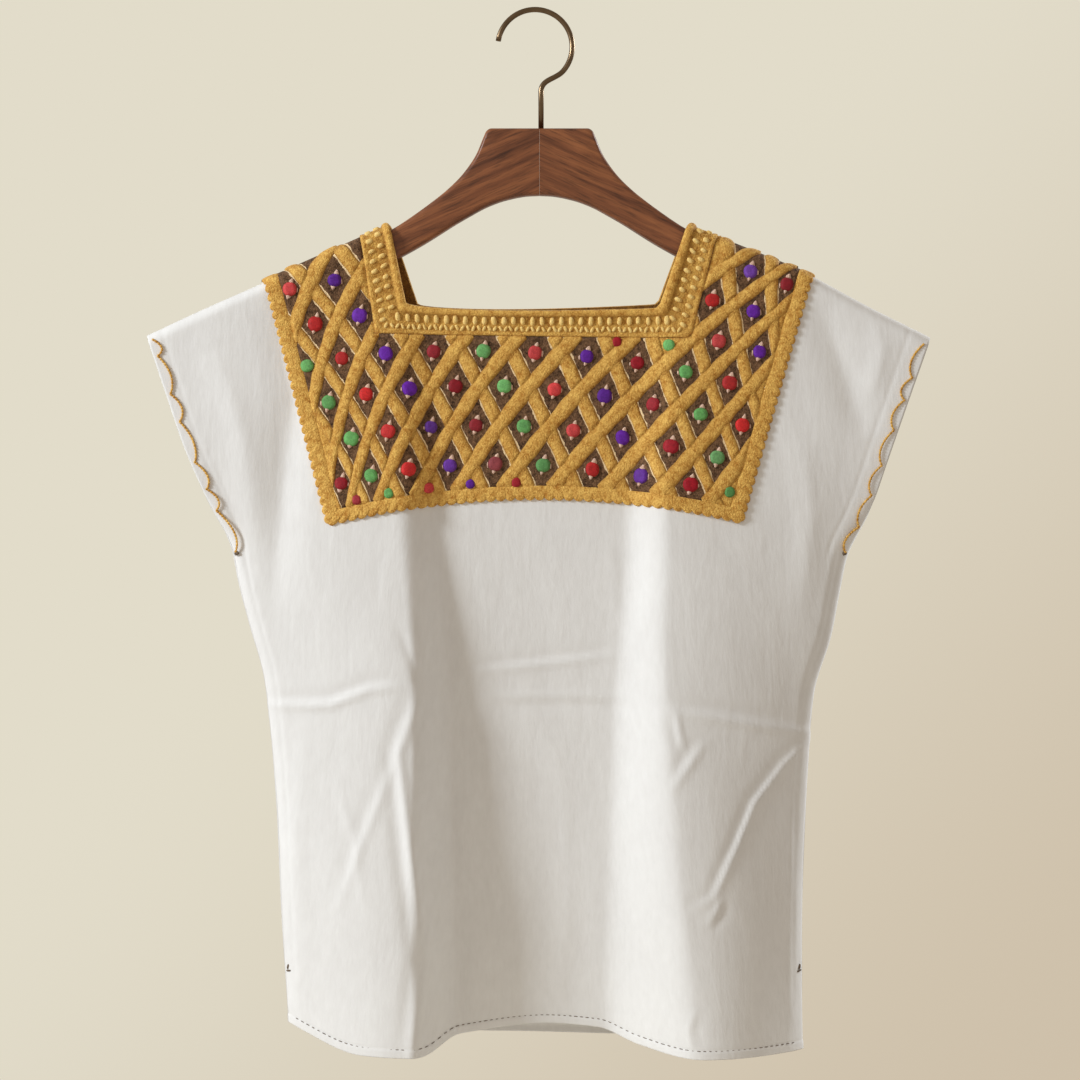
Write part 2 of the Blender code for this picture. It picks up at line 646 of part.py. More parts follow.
def hook(name, colour):
    """Round wire along an arc, a reverse bend and a straight shank."""
    turn = np.linspace(HOOK_TIP, HOOK_END, HOOK_STEPS)
    middle = -(HOOK_RADIUS - WIRE_RADIUS)
    arc = np.stack([HOOK_RADIUS * np.cos(turn), middle + HOOK_RADIUS * np.sin(turn)], 1)
    heading = np.array([math.sin(HOOK_END), -math.cos(HOOK_END)])
    shoulder = arc[-1] + BEND_PULL[0] * heading
    elbow = np.array([SHAFT_X, SHAFT_TOP + BEND_PULL[1]])
    u = np.linspace(0, 1, BEND_STEPS)[1:, None]
    bend = ((1 - u) ** 3 * arc[-1] + 3 * u * (1 - u) ** 2 * shoulder
            + 3 * u * u * (1 - u) * elbow + u ** 3 * np.array([SHAFT_X, SHAFT_TOP]))
    path = np.vstack([arc, bend, [(SHAFT_X, SHAFT_FOOT)]])
    along = np.gradient(path, axis=0)
    along /= np.linalg.norm(along, axis=1, keepdims=True)
    side = np.stack([along[:, 1], np.zeros(len(path)), -along[:, 0]], 1)
    centre = np.stack([path[:, 0], np.zeros(len(path)), path[:, 1]], 1)
    bm = bmesh.new()
    rings = []
    for at, across in zip(centre, side):
        ring = []
        for k in range(WIRE_SIDES):
            angle = 2 * math.pi * k / WIRE_SIDES
            reach = math.cos(angle) * across + math.sin(angle) * np.array([0, 1, 0])
            ring.append(bm.verts.new(at + WIRE_RADIUS * reach))
        rings.append(ring)
    for ring, following in zip(rings, rings[1:]):
        for k in range(WIRE_SIDES):
            n = (k + 1) % WIRE_SIDES
            bm.faces.new([ring[k], ring[n], following[n], following[k]])
    bm.faces.new(rings[0])
    bm.faces.new(rings[-1])
    bmesh.ops.recalc_face_normals(bm, faces=bm.faces)
    finish_object(name, bm, colour, 0.35, 0.9)


COTTON = (0.82, 0.81, 0.79)
GOLD = (0.60, 0.33, 0.05)
BROWN = (0.16, 0.08, 0.03)
BRAID = (0.68, 0.40, 0.09)
WALNUT = (0.17, 0.06, 0.03)
BRONZE = (0.10, 0.07, 0.045)

for old in list(bpy.data.objects):
    bpy.data.objects.remove(old, do_unlink=True)
panel("front_panel", FRONT, COTTON)
panel("back_panel", BACK, COTTON)
yoke("front_yoke", FRONT, BAND_OUTER, BROWN)
yoke("back_yoke", BACK, BACK_OUTER, BROWN)
border("front_border", FRONT, GOLD)
border("back_border", BACK, GOLD)
neck_band("neck_band", BRAID)
hanger_half("hanger_left", -1, WALNUT)
hanger_half("hanger_right", 1, WALNUT)
hook("hanger_hook", BRONZE)
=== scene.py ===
"""Looks of a cotton blouse with an embroidered square yoke, hung on a two-piece wooden hanger.

The meshes are worked out in millimetres in the frame of the solids: X to the right across the
front, Y to the back, Z up, and the origin under the top of the hook's curve.
"""
import math

import bmesh
import bpy
import numpy as np
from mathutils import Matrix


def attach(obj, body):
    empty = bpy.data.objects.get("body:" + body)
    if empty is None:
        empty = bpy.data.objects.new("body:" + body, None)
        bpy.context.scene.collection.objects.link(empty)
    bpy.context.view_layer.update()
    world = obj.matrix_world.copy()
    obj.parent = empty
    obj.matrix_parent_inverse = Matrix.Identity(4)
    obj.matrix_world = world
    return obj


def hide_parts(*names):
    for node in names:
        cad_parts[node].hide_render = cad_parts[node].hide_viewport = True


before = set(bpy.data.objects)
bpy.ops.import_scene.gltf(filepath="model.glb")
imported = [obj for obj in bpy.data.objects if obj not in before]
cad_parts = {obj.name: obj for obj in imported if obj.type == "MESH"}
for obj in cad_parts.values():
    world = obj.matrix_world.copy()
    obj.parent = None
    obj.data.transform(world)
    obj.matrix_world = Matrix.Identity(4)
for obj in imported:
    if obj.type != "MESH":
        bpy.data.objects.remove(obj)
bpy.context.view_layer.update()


# Front and back panels. Plain white cotton, each cut in one with its halves of the cap sleeves,
# joined at the shoulders and sides. They hang from the hanger's arms over a rolled ridge, and two
# long folds fall from the yoke. Hems are turned and stitched; the cloth is creased from packing.
SEAM = 0.3
RIDGE_RADIUS = 9.0      # roll of the cloth over the hanger's arm
SIDE_RADIUS = 12.0      # roll of the cloth at the side seam
COTTON_THICK = 0.7
# Share of the way down, left edge X, right edge X.
EDGES = np.array([
    (0.00, -302.0, 307.5),
    (0.10, -284.0, 288.0),
    (0.16, -273.0, 276.5),
    (0.25, -252.0, 259.0),
    (0.31, -237.0, 243.5),
    (0.36, -231.5, 237.5),
    (0.42, -223.0, 231.0),
    (0.50, -211.0, 218.0),
    (0.56, -207.0, 214.5),
    (0.68, -202.0, 210.5),
    (0.83, -198.0, 208.5),
    (1.00, -192.0, 209.0),
])
# Share across, Z of the shoulder ridge; the two middle rows lie just inside the neck.
SHOULDER = np.array([
    (0.000, -252.0),
    (0.144, -211.5),
    (0.320, -164.1),
    (0.684, -165.3),
    (0.846, -205.0),
    (1.000, -254.0),
])
# Share across, Z of the hem.
FRONT_HEM = np.array([
    (0.00, -786.0),
    (0.15, -805.0),
    (0.27, -806.0),
    (0.335, -798.0),
    (0.50, -790.0),
    (0.60, -793.0),
    (0.68, -803.0),
    (0.80, -807.0),
    (1.00, -807.0),
])
BACK_HEM = np.array([
    (0.00, -786.0),
    (0.25, -800.0),
    (0.50, -802.0),
    (0.75, -805.0),
    (1.00, -807.0),
])
# Share down; shares across of the left peak, left foot, right foot and right peak of the two
# long folds; depth of the folds, of the middle between them and of the sides.
FRONT_FOLDS = np.array([
    (0.00, 0.300, 0.355, 0.640, 0.700, 9.5, 9.5, 9.5),
    (0.07, 0.300, 0.355, 0.640, 0.700, 10.0, 9.5, 10.0),
    (0.15, 0.290, 0.352, 0.640, 0.705, 14.0, 9.0, 10.0),
    (0.34, 0.272, 0.345, 0.640, 0.715, 25.0, 8.5, 9.0),
    (0.62, 0.262, 0.337, 0.630, 0.745, 37.0, 1.0, 8.0),
    (1.00, 0.245, 0.330, 0.608, 0.800, 50.0, -10.0, 8.0),
])
BACK_FOLDS = np.array([
    (0.00, 0.280, 0.400, 0.600, 0.720, 9.5, 9.5, 9.5),
    (0.07, 0.280, 0.400, 0.600, 0.720, 10.0, 9.5, 10.0),
    (0.15, 0.280, 0.400, 0.600, 0.720, 12.0, 10.0, 10.0),
    (0.34, 0.275, 0.400, 0.600, 0.725, 22.0, 16.0, 9.0),
    (0.62, 0.270, 0.395, 0.605, 0.735, 34.0, 28.0, 8.0),
    (1.00, 0.260, 0.390, 0.610, 0.745, 45.0, 38.0, 8.0),
])
# Share down, how far the front and back stand apart at the edge: sleeve ends, seam, side slits.
EDGE_OPEN = np.array([
    (0.00, 1.0),
    (0.22, 1.0),
    (0.31, 0.0),
    (0.93, 0.0),
    (1.00, 0.35),
])
ROLL = RIDGE_RADIUS * math.pi / 2
LIFT = ROLL - RIDGE_RADIUS
# Creases, each a path of (X, Z) points, its half width, its rise (a trough where negative) and
# the side of the shallow trough beside it (0 for none).
FRONT_CREASES = (
    (((-208, -540), (-158, -539), (-128, -527), (-105, -524)), 3.0, 2.2, -1),
    (((-87, -527), (-104, -574), (-95, -654), (-84, -732), (-95, -806)), 3.8, 3.2, 1),
    (((-104, -574), (-128, -634), (-151, -695)), 3.4, 1.2, 1),
    (((-104, -480), (-94, -505), (-88, -528)), 4.0, -1.6, 0),
    (((-55, -514), (0, -509), (66, -501)), 2.6, 1.4, -1),
    (((-43, -534), (20, -533), (82, -534)), 3.2, 1.0, 1),
    (((105, -543), (134, -547), (170, -554), (217, -562)), 3.2, 2.2, -1),
    (((217, -564), (193, -584), (169, -614), (155, -647), (137, -685), (122, -693)), 2.4, 2.3, 1),
    (((144, -685), (138, -697), (132, -706)), 2.4, 1.6, -1),
    (((108, -541), (110, -556), (114, -571)), 2.8, 1.6, 1),
    (((130, -567), (118, -584), (105, -603)), 3.0, 1.5, 1),
    (((121, -770), (117, -786), (121, -801)), 3.0, 1.3, -1),
    (((-152, -600), (-138, -640), (-132, -690)), 4.5, 0.9, 1),
    (((60, -420), (64, -470), (58, -530)), 5.0, 0.6, -1),
    (((-30, -560), (-34, -650), (-28, -740)), 6.0, 0.6, 1),
    (((22, -600), (26, -690), (18, -780)), 6.0, 0.5, -1),
    (((-203, -217), (-188, -300), (-198, -390), (-203, -470)), 15.0, -5.0, 0),
    (((-249, -348), (-232, -398), (-220, -448)), 8.0, -2.2, 0),
    (((-250, -262), (-226, -330), (-216, -400)), 13.0, 2.6, 0),
    (((218, -224), (240, -280), (257, -334)), 13.0, -3.6, 0),
    (((262, -243), (270, -262), (262, -300)), 8.0, 1.8, 0),
    (((205, -330), (214, -390), (206, -470)), 12.0, 2.0, 0),
    (((196, -620), (201, -700), (198, -780)), 7.0, 1.2, -1),
    (((-178, -560), (-184, -640), (-180, -740)), 9.0, 1.2, 1),
)
BACK_CREASES = (
    (((-206, -548), (-150, -541), (-96, -546)), 3.4, 1.5, 1),
    (((-60, -532), (4, -526), (70, -534)), 3.2, 1.1, -1),
    (((98, -538), (150, -548), (212, -552)), 3.6, 1.6, 1),
    (((92, -540), (104, -610), (96, -700), (106, -790)), 4.0, 2.0, -1),
    (((-198, -575), (-160, -622), (-142, -690)), 3.6, 1.5, 1),
    (((-40, -440), (-34, -560), (-42, -700)), 6.0, 0.8, 1),
    (((34, -470), (28, -600), (36, -760)), 6.0, 0.8, -1),
    (((-216, -230), (-238, -285), (-254, -332)), 13.0, -3.2, 0),
    (((214, -226), (204, -320), (210, -440)), 14.0, -4.0, 0),
    (((246, -350), (232, -400), (222, -450)), 8.0, -2.0, 0),
)


def smooth(x, table, column):
    """Monotone cubic through one column of a short table, with no overshoot between rows."""
    xs = table[:, 0]
    ys = table[:, column]
    step = np.diff(xs)
    rise = np.diff(ys) / step
    same = rise[:-1] * rise[1:] > 0
    slope = np.zeros_like(ys)
    total = np.where(same, rise[:-1] + rise[1:], 1.0)
    slope[1:-1] = np.where(same, 2 * rise[:-1] * rise[1:] / total, 0.0)
    slope[0] = rise[0]
    slope[-1] = rise[-1]
    x = np.clip(x, xs[0], xs[-1])
    k = np.clip(np.searchsorted(xs, x, side="right") - 1, 0, len(xs) - 2)
    u = (x - xs[k]) / step[k]
    start = ys[k] * (1 + 2 * u) * (1 - u) ** 2 + slope[k] * step[k] * u * (1 - u) ** 2
    end = ys[k + 1] * u * u * (3 - 2 * u) + slope[k + 1] * step[k] * u * u * (u - 1)
    return start + end


def ridge_z(s):
    """Height of the shoulder ridge at a share across."""
    return np.interp(s, SHOULDER[:, 0], SHOULDER[:, 1])


class Face:
    """One side of the garment: its sign along Y, its folds and its hem."""

    def __init__(self, sign, folds, hem):
        self.sign = sign
        self.folds = folds
        self.hem = hem

    def length(self, s):
        """Height from the shoulder ridge to the hem."""
        return ridge_z(s) - smooth(s, self.hem, 1)

    def depth(self, s, t):
        """How far the cloth stands off the middle plane: a quarter sine from each side to its
        fold's peak, half a cosine down to the fold's foot, and level between the feet."""
        left_peak, left_foot, right_foot, right_peak, lobe, middle, side = (
            smooth(t, self.folds, k) for k in range(1, 8))
        left_rise = side + (lobe - side) * np.sin(math.pi / 2 * np.clip(s / left_peak, 0, 1))
        right_rise = side + (lobe - side) * np.sin(
            math.pi / 2 * np.clip((1 - s) / (1 - right_peak), 0, 1))
        left_fall = np.clip((s - left_peak) / (left_foot - left_peak), 0, 1)
        right_fall = np.clip((right_peak - s) / (right_peak - right_foot), 0, 1)
        left = middle + (left_rise - middle) * (0.5 + 0.5 * np.cos(math.pi * left_fall))
        right = middle + (right_rise - middle) * (0.5 + 0.5 * np.cos(math.pi * right_fall))
        return np.where(s < 0.5, left, right)

    def point(self, s, q):
        """Point of the cloth's outer side: s across, q down from the ridge. It turns a quarter
        circle off the ridge, then falls straight while the folds deepen."""
        turn = np.clip(q / RIDGE_RADIUS, 0, math.pi / 2)
        drop = RIDGE_RADIUS * (1 - np.cos(turn)) + np.maximum(q - ROLL, 0)
        t = drop / self.length(s)
        left = smooth(t, EDGES, 1)
        width = smooth(t, EDGES, 2) - left
        gape = smooth(t, EDGE_OPEN, 1)
        near = np.clip(np.minimum(s, 1 - s) * width / SIDE_RADIUS, 0, 1)
        side_roll = gape + (1 - gape) * np.sqrt(1 - (1 - near) ** 2)
        out = SEAM / 2 + self.depth(s, t) * np.sin(turn) * side_roll
        return np.stack([left + width * s, self.sign * out, ridge_z(s) - drop], -1)

    def offset(self, s, q, away):
        """Point at a distance from the outer side, along the cloth's normal."""
        ds = 1e-4
        dq = 0.05
        along = self.point(np.clip(s + ds, 0, 1), q) - self.point(np.clip(s - ds, 0, 1), q)
        down = self.point(s, q + dq) - self.point(s, np.maximum(q - dq, 0))
        normal = self.sign * np.cross(along, down)
        normal /= np.linalg.norm(normal, axis=-1, keepdims=True)
        return self.point(s, q) + normal * np.asarray(away)[..., None]

    def find(self, x, z):
        """Shares and lengths (s, q) of points given on the unrolled front view."""
        s = np.full(np.shape(x), 0.5)
        for _ in range(30):
            q = np.maximum(ridge_z(s) - z + LIFT, 0)
            turn = np.clip(q / RIDGE_RADIUS, 0, math.pi / 2)
            drop = RIDGE_RADIUS * (1 - np.cos(turn)) + np.maximum(q - ROLL, 0)
            t = drop / self.length(s)
            left = smooth(t, EDGES, 1)
            s = np.clip((x - left) / (smooth(t, EDGES, 2) - left), 0, 1)
        return s, q

    def raised(self, flat, away):
        """Points above the cloth from (X, Z) on the unrolled front view."""
        s, q = self.find(flat[..., 0], flat[..., 1])
        return self.offset(s, q, away)


FRONT = Face(-1, FRONT_FOLDS, FRONT_HEM)
BACK = Face(1, BACK_FOLDS, BACK_HEM)


def crease(x, z, path, width, rise, side):
    """Soft fold along a path: a bell across it that fades at both ends of the path, and beside
    it a wider and shallower bell the other way."""
    path = np.array(path, float)
    runs = np.hypot(*np.diff(path, axis=0).T)
    reached = np.concatenate([[0], np.cumsum(runs)])
    nearest = np.full(x.shape, 1e9)
    signed = np.zeros(x.shape)
    along = np.zeros(x.shape)
    for a, b, run, start in zip(path, path[1:], runs, reached):
        dx, dz = (b - a) / run
        u = np.clip((x - a[0]) * dx + (z - a[1]) * dz, 0, run)
        gap = np.hypot(x - a[0] - u * dx, z - a[1] - u * dz)
        closer = gap < nearest
        nearest = np.where(closer, gap, nearest)
        signed = np.where(closer, np.copysign(gap, (x - a[0]) * dz - (z - a[1]) * dx), signed)
        along = np.where(closer, (start + u) / reached[-1], along)
    fade = np.sin(math.pi * np.clip(along, 0.02, 0.98)) ** 0.6
    bell = np.exp(-np.abs(signed / width) ** 1.6)
    beside = np.exp(-((signed - 2.1 * side * width) / (1.6 * width)) ** 2)
    return rise * fade * (bell - 0.55 * abs(side) * beside)


def shell(outer, inner, faces):
    """Closed wall: the quads on the outer points, the same turned round on the inner points, and
    a strip of quads along every edge that only one quad uses."""
    count = len(outer)
    edges = np.concatenate([faces[:, [k, (k + 1) % 4]] for k in range(4)])
    code = edges[:, 0] * count + edges[:, 1]
    rim = edges[~np.isin(code, edges[:, 1] * count + edges[:, 0])]
    strip = np.stack([rim[:, 1], rim[:, 0], rim[:, 0] + count, rim[:, 1] + count], 1)
    return np.vstack([outer, inner]), np.vstack([faces, faces[:, ::-1] + count, strip])


def grid(rows, columns):
    """Quads of points numbered row by row downwards, facing the front."""
    a = (np.arange(rows - 1)[:, None] * columns + np.arange(columns - 1)).ravel()
    return np.stack([a, a + columns, a + columns + 1, a + 1], 1)


def spread(*runs):
    """Even steps through several runs of (start, count), closed by a last number."""
    parts = [np.linspace(a, b, n, endpoint=False) for (a, n), (b, *_) in zip(runs, runs[1:])]
    return np.concatenate(parts + [[runs[-1][0]]])


def kept_quads(face, faces, gone):
    """The points that the quads outside the neck use, and those quads, seen from outside."""
    faces = faces[~gone]
    if face.sign > 0:
        faces = faces[:, ::-1]
    used, faces = np.unique(faces, return_inverse=True)
    return used, faces.reshape(-1, 4)


def placed(name, data):
    """New object in the scene."""
    obj = bpy.data.objects.new(name, data)
    bpy.context.scene.collection.objects.link(obj)
    return obj


def piece(name, points, faces, material, slot, uv=None, values=()):
    """Smooth mesh from points in millimetres, riding on the one body, with its UV map and named
    values per point."""
    mesh = bpy.data.meshes.new(name)
    mesh.from_pydata(points * 0.001, [], faces)
    mesh.materials.append(material)
    mesh.shade_smooth()
    if uv is not None:
        corners = np.zeros(len(mesh.loops), np.int32)
        mesh.loops.foreach_get("vertex_index", corners)
        layer = mesh.uv_layers.new(name="UVMap")
        layer.data.foreach_set("uv", uv[corners].astype(np.float32).ravel())
    for key, value in values:
        if value.ndim == 1:
            mesh.attributes.new(key, "FLOAT", "POINT").data.foreach_set(
                "value", value.astype(np.float32))
        else:
            shade = np.column_stack([value, np.ones(len(value))])
            mesh.attributes.new(key, "FLOAT_COLOR", "POINT").data.foreach_set(
                "color", shade.astype(np.float32).ravel())
    obj = placed(name, mesh)
    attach(obj, "root")
    return obj


def node(tree, kind, inputs=None, **settings):
    """Node with its settings and inputs; an input is a value, or a socket that gets linked."""
    made = tree.nodes.new(kind)
    for key, value in settings.items():
        setattr(made, key, value)
    for key, value in (inputs or {}).items():
        if isinstance(value, bpy.types.NodeSocket):
            tree.links.new(value, made.inputs[key])
        else:
            made.inputs[key].default_value = value
    return made


def finish(name, **constants):
    """New material with its shader, whose constant sockets are set here."""
    made = bpy.data.materials.new(name)
    made.use_nodes = True
    shader = made.node_tree.nodes["Principled BSDF"]
    for key, value in constants.items():
        shader.inputs[key.replace("_", " ")].default_value = value
    return made.node_tree, shader, made


def shade(r, g, b):
    """Linear colour from the eye's 0 to 255 numbers."""
    part = np.array([r, g, b]) / 255
    linear = np.where(part <= 0.04045, part / 12.92, ((part + 0.055) / 1.055) ** 2.4)
    return (*linear, 1.0)


def mix(tree, share, first, second, blend="MIX"):
    """Two colours blended by a share."""
    return node(tree, "ShaderNodeMix", {0: share, 6: first, 7: second}, data_type="RGBA",
                blend_type=blend).outputs[2]


def noise(tree, place, scale, **more):
    """Cloudy value from 0 to 1 over a place."""
    made = node(tree, "ShaderNodeTexNoise", {"Vector": place, "Scale": scale, **more})
    return made.outputs["Fac"]


def remap(tree, value, low=0.0, high=1.0, to_low=0.0, to_high=1.0, **settings):
    """Value moved from one span to another, held at its ends."""
    return node(tree, "ShaderNodeMapRange", {"Value": value, "From Min": low, "From Max": high,
                "To Min": to_low, "To Max": to_high}, **settings).outputs[0]


def calc(tree, operation, *values):
    """One step of arithmetic on sockets and numbers."""
    return node(tree, "ShaderNodeMath", dict(enumerate(values)), operation=operation).outputs[0]


def attribute(tree, name):
    """What the mesh carries under a name."""
    return node(tree, "ShaderNodeAttribute", attribute_name=name).outputs


def bumps(tree, *layers):
    """Normal from layers of height, strength and distance in metres, one over another."""
    below = {}
    for height, strength, distance in layers:
        made = node(tree, "ShaderNodeBump", {"Height": height, "Strength": strength,
                    "Distance": distance, **below})
        below = {"Normal": made.outputs[0]}
    return made.outputs[0]


def plug(tree, shader, **sources):
    """Links sockets to the shader's inputs."""
    for key, source in sources.items():
        tree.links.new(source, shader.inputs[key.replace("_", " ")])


def effect_group(name, amount, *results):
    """Start of a shared effect: the group, its place and the one amount it takes."""
    group = bpy.data.node_groups.new(name, "ShaderNodeTree")
    group.interface.new_socket("Vector", in_out="INPUT", socket_type="NodeSocketVector")
    group.interface.new_socket(amount, in_out="INPUT", socket_type="NodeSocketFloat")
    for result in results:
        group.interface.new_socket(result, in_out="OUTPUT", socket_type="NodeSocketFloat")
    given = node(group, "NodeGroupInput").outputs
    return group, given["Vector"], given[amount]


def effect(tree, group, place, **amount):
    """Shared effect laid over a place, and its results."""
    return node(tree, "ShaderNodeGroup", {"Vector": place, **amount}, node_tree=group).outputs


def weave_group():
    """Plain weave: two crossed rows of rounded threads of uneven thickness, multiplied."""
    group, place, threads = effect_group("plain_weave", "Threads", "Height")
    warp, weft = (node(group, "ShaderNodeTexWave", {"Vector": place, "Scale": threads,
                       "Distortion": 0.6, "Detail": 1.0}, bands_direction=way).outputs["Fac"]
                  for way in "XY")
    node(group, "NodeGroupOutput", {"Height": calc(group, "MULTIPLY", warp, weft)})
    return group


WEAVE = weave_group()


def cotton():
    """White cotton: fine weave, uneven slubs, faint crumples, and on the inner side of the yoke
    the brown and gold backs of the stitches."""
    tree, shader, made = finish("white_cotton_cloth", Roughness=0.86, Sheen_Weight=0.25,
                                Sheen_Roughness=0.5, Specular_IOR_Level=0.25)
    place = node(tree, "ShaderNodeTexCoord").outputs["UV"]
    weave = effect(tree, WEAVE, place, Threads=420.0)
    long_way = node(tree, "ShaderNodeMapping", {"Vector": place, "Scale": (1, 0.3, 1)}).outputs[0]
    slub = noise(tree, long_way, 260.0, Detail=3.0, Roughness=0.6)
    crumple = noise(tree, long_way, 46.0, Detail=4.0, Roughness=0.55, Distortion=0.4)
    tint = mix(tree, crumple, shade(231, 230, 229), shade(243, 243, 242))
    fine = mix(tree, slub, shade(214, 212, 209), shade(255, 255, 255))
    cloth = mix(tree, 0.35, tint, fine, "MULTIPLY")
    backs = mix(tree, slub, shade(88, 55, 28), shade(172, 122, 52))
    plug(tree, shader,
         Base_Color=mix(tree, attribute(tree, "stitch_backs")["Fac"], cloth, backs),
         Normal=bumps(tree, (weave["Height"], 0.12, 0.0002), (slub, 0.3, 0.0006),
                      (crumple, 0.2, 0.004)))
    return made


COTTON = cotton()
NECK_SHARES = (0.3095, 0.6945)
NECK_DOWN = 0.0941
HEM_FOLD = 6.5
SLEEVE_FOLD = (11.0, 15.5)      # turned hem of the left and right sleeve
COLUMNS = spread((0.0, 18), (0.045, 48), (NECK_SHARES[0], 66), (NECK_SHARES[1], 48), (0.955, 18),
                 (1.0,))
ROWS = spread((0.0, 16), (NECK_DOWN, 40), (0.30, 140), (0.982, 12), (1.0,))[1:]
YOKE_BOX = (-205.0, 210.0, -375.0)
NECK_SAG = 6.0          # dip of the front neck edge between its corners
RIPPLE = 0.45           # height of the broad waves between the creases
TURN_RISE = 0.4         # step of the turned hem
STITCH_DIP = 0.3        # furrow that the hem's stitches pull in
SLEEVE_DIP = 0.35
SEAM_DIP = 0.5
SEAM_INSET = 9.0        # furrow beside the side seam, in from the edge


def calm(x, z):
    """0 within the yoke, where the stitching keeps the cotton flat, to 1 past its outline."""
    left, right, low = YOKE_BOX
    side = np.where(x < 0, left, right) * (1 - 0.23 * np.clip((-170 - z) / 200, 0, 1))
    past = np.maximum((np.abs(x) - np.abs(side)) / 14, (low - z) / 20)
    return np.clip(past, 0, 1)


def relief(face, s, q, creases):
    """Height of the creases and the turned hems above the smooth drape."""
    at = face.point(s, q)
    x = at[..., 0]
    z = ridge_z(s) + LIFT - q
    rise = sum(crease(x, z, *one) for one in creases)
    rise = rise + RIPPLE * np.sin(x / 17 + 2.0 * np.sin(z / 90)) * np.sin(z / 61 + x / 140)
    rise = rise * calm(x, z)
    below = face.length(s) + LIFT - q
    turned = np.clip((HEM_FOLD + 0.4 - below) / 0.8, 0, 1)
    rise = rise + TURN_RISE * turned - STITCH_DIP * np.exp(-((below - HEM_FOLD) / 1.1) ** 2)
    t = (ridge_z(s) - at[..., 2]) / face.length(s)
    width = smooth(t, EDGES, 2) - smooth(t, EDGES, 1)
    sleeve = np.clip((0.33 - t) / 0.02, 0, 1)
    for share, fold in ((s, SLEEVE_FOLD[0]), (1 - s, SLEEVE_FOLD[1])):
        inward = share * width
        rise = rise - sleeve * SLEEVE_DIP * np.exp(-((inward - fold) / 1.4) ** 2)
    seam = np.clip((t - 0.30) / 0.02, 0, 1) * np.clip((0.94 - t) / 0.02, 0, 1)
    inward = np.minimum(s, 1 - s) * width
    return rise - seam * SEAM_DIP * np.exp(-((inward - SEAM_INSET) / 2.0) ** 2)


def neck_dip(u):
    """Sag of the front neck edge between its corners at a share across, most at the left."""
    u = np.clip(u, 0, 1)
    return NECK_SAG * np.sqrt(np.sin(math.pi * u) * (u < 1)) * (1 - 0.6 * u)


def panel(name, face, creases, node_name):
    """Cotton wall on the drape, with the square neck hole left out of its grid."""
    ridge = np.linspace(0, ROLL, 9)
    span = face.length(COLUMNS) + LIFT - ROLL
    lower = ROLL + ROWS[:, None] * span
    if face.sign < 0:
        u = (COLUMNS - NECK_SHARES[0]) / (NECK_SHARES[1] - NECK_SHARES[0])
        lower += np.interp(ROWS, (0, NECK_DOWN, 2 * NECK_DOWN), (0, 1, 0))[:, None] * neck_dip(u)
    q = np.vstack([np.tile(ridge[:, None], len(COLUMNS)), lower])
    s = np.tile(COLUMNS, (len(q), 1))
    rise = relief(face, s, q, creases)
    faces = grid(*s.shape)
    row, column = np.divmod(faces[:, 0], len(COLUMNS))
    first, last = (np.searchsorted(COLUMNS, edge - 1e-6) for edge in NECK_SHARES)
    neck_row = 8 + np.searchsorted(ROWS, NECK_DOWN - 1e-6) + 1
    used, faces = kept_quads(face, faces, (row < neck_row) & (column >= first) & (column < last))
    s, q, rise = s.ravel()[used], q.ravel()[used], rise.ravel()[used]
    points, faces = shell(face.offset(s, q, rise), face.offset(s, q, rise - COTTON_THICK), faces)
    flat_x = face.point(s, q)[:, 0]
    uv = np.stack([flat_x, -q], 1) * 0.001
    stitched = calm(flat_x, ridge_z(s) + LIFT - q) < 0.01
    made = piece(name, points, faces, COTTON, "white_cotton", np.vstack([uv, uv]),
                 [("stitch_backs", np.concatenate([np.zeros(len(s)), stitched]))])
    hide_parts(node_name)
    return made


front_cloth = panel("front_cloth", FRONT, FRONT_CREASES, "front_panel")
back_cloth = panel("back_cloth", BACK, BACK_CREASES, "back_panel")


# Gold thread. Twisted cotton floss in short dense stitches, worked through the cloth by hand.
# Every embroidered piece below uses it or its brown, cream and coloured kin.
def nap_group():
    """Short dense stitches: rounded grains in uneven rows, with a tone that drifts."""
    group, place, grains = effect_group("stitch_nap", "Grains", "Height", "Tone")
    beads = node(group, "ShaderNodeTexVoronoi", {"Vector": place, "Scale": grains,
                 "Randomness": 0.9}, feature="SMOOTH_F1").outputs["Distance"]
    rounded = remap(group, beads, 0.05, 0.65, 1.0, 0.0)
    fibres = noise(group, place, calc(group, "MULTIPLY", grains, 2.2), Detail=2.0, Roughness=0.6)
    height = node(group, "ShaderNodeMix", {0: 0.45, 2: rounded, 3: fibres}).outputs[0]
    drift = noise(group, place, calc(group, "MULTIPLY", grains, 0.26), Detail=5.0, Roughness=0.8)
    swing, crisp = remap(group, drift, 0.36, 0.62), remap(group, height, 0.3, 0.72)
    tone = node(group, "ShaderNodeMix", {0: 0.4, 2: swing, 3: crisp}).outputs[0]
    node(group, "NodeGroupOutput", {"Height": height, "Tone": tone})
    return group


NAP = nap_group()
# Painted shade: this tint is multiplied into the floss at rope edges, in grooves and under
# crossings.
PAINTED_SHADE_TINT = (0.5, 0.42, 0.3, 1)


def floss(name, dark, light, grains=800.0, deep=0.9):
    """Thread of one colour in two tones, with the grain of short stitches, and painted shade
    multiplied in where a per-point attribute marks the thread lying low."""
    tree, shader, made = finish(name, Roughness=0.8, Sheen_Weight=0.12, Sheen_Roughness=0.4,
                                Specular_IOR_Level=0.2)
    place = node(tree, "ShaderNodeTexCoord").outputs["Object"]
    nap = effect(tree, NAP, place, Grains=grains)
    colour = mix(tree, nap["Tone"], dark, light)
    # Painted shade, as much as the mesh carries at each point.
    low = attribute(tree, "painted_shade")["Fac"]
    plug(tree, shader, Base_Color=mix(tree, low, colour, PAINTED_SHADE_TINT, "MULTIPLY"),
         Normal=bumps(tree, (nap["Height"], deep, 0.0009)))
    return made


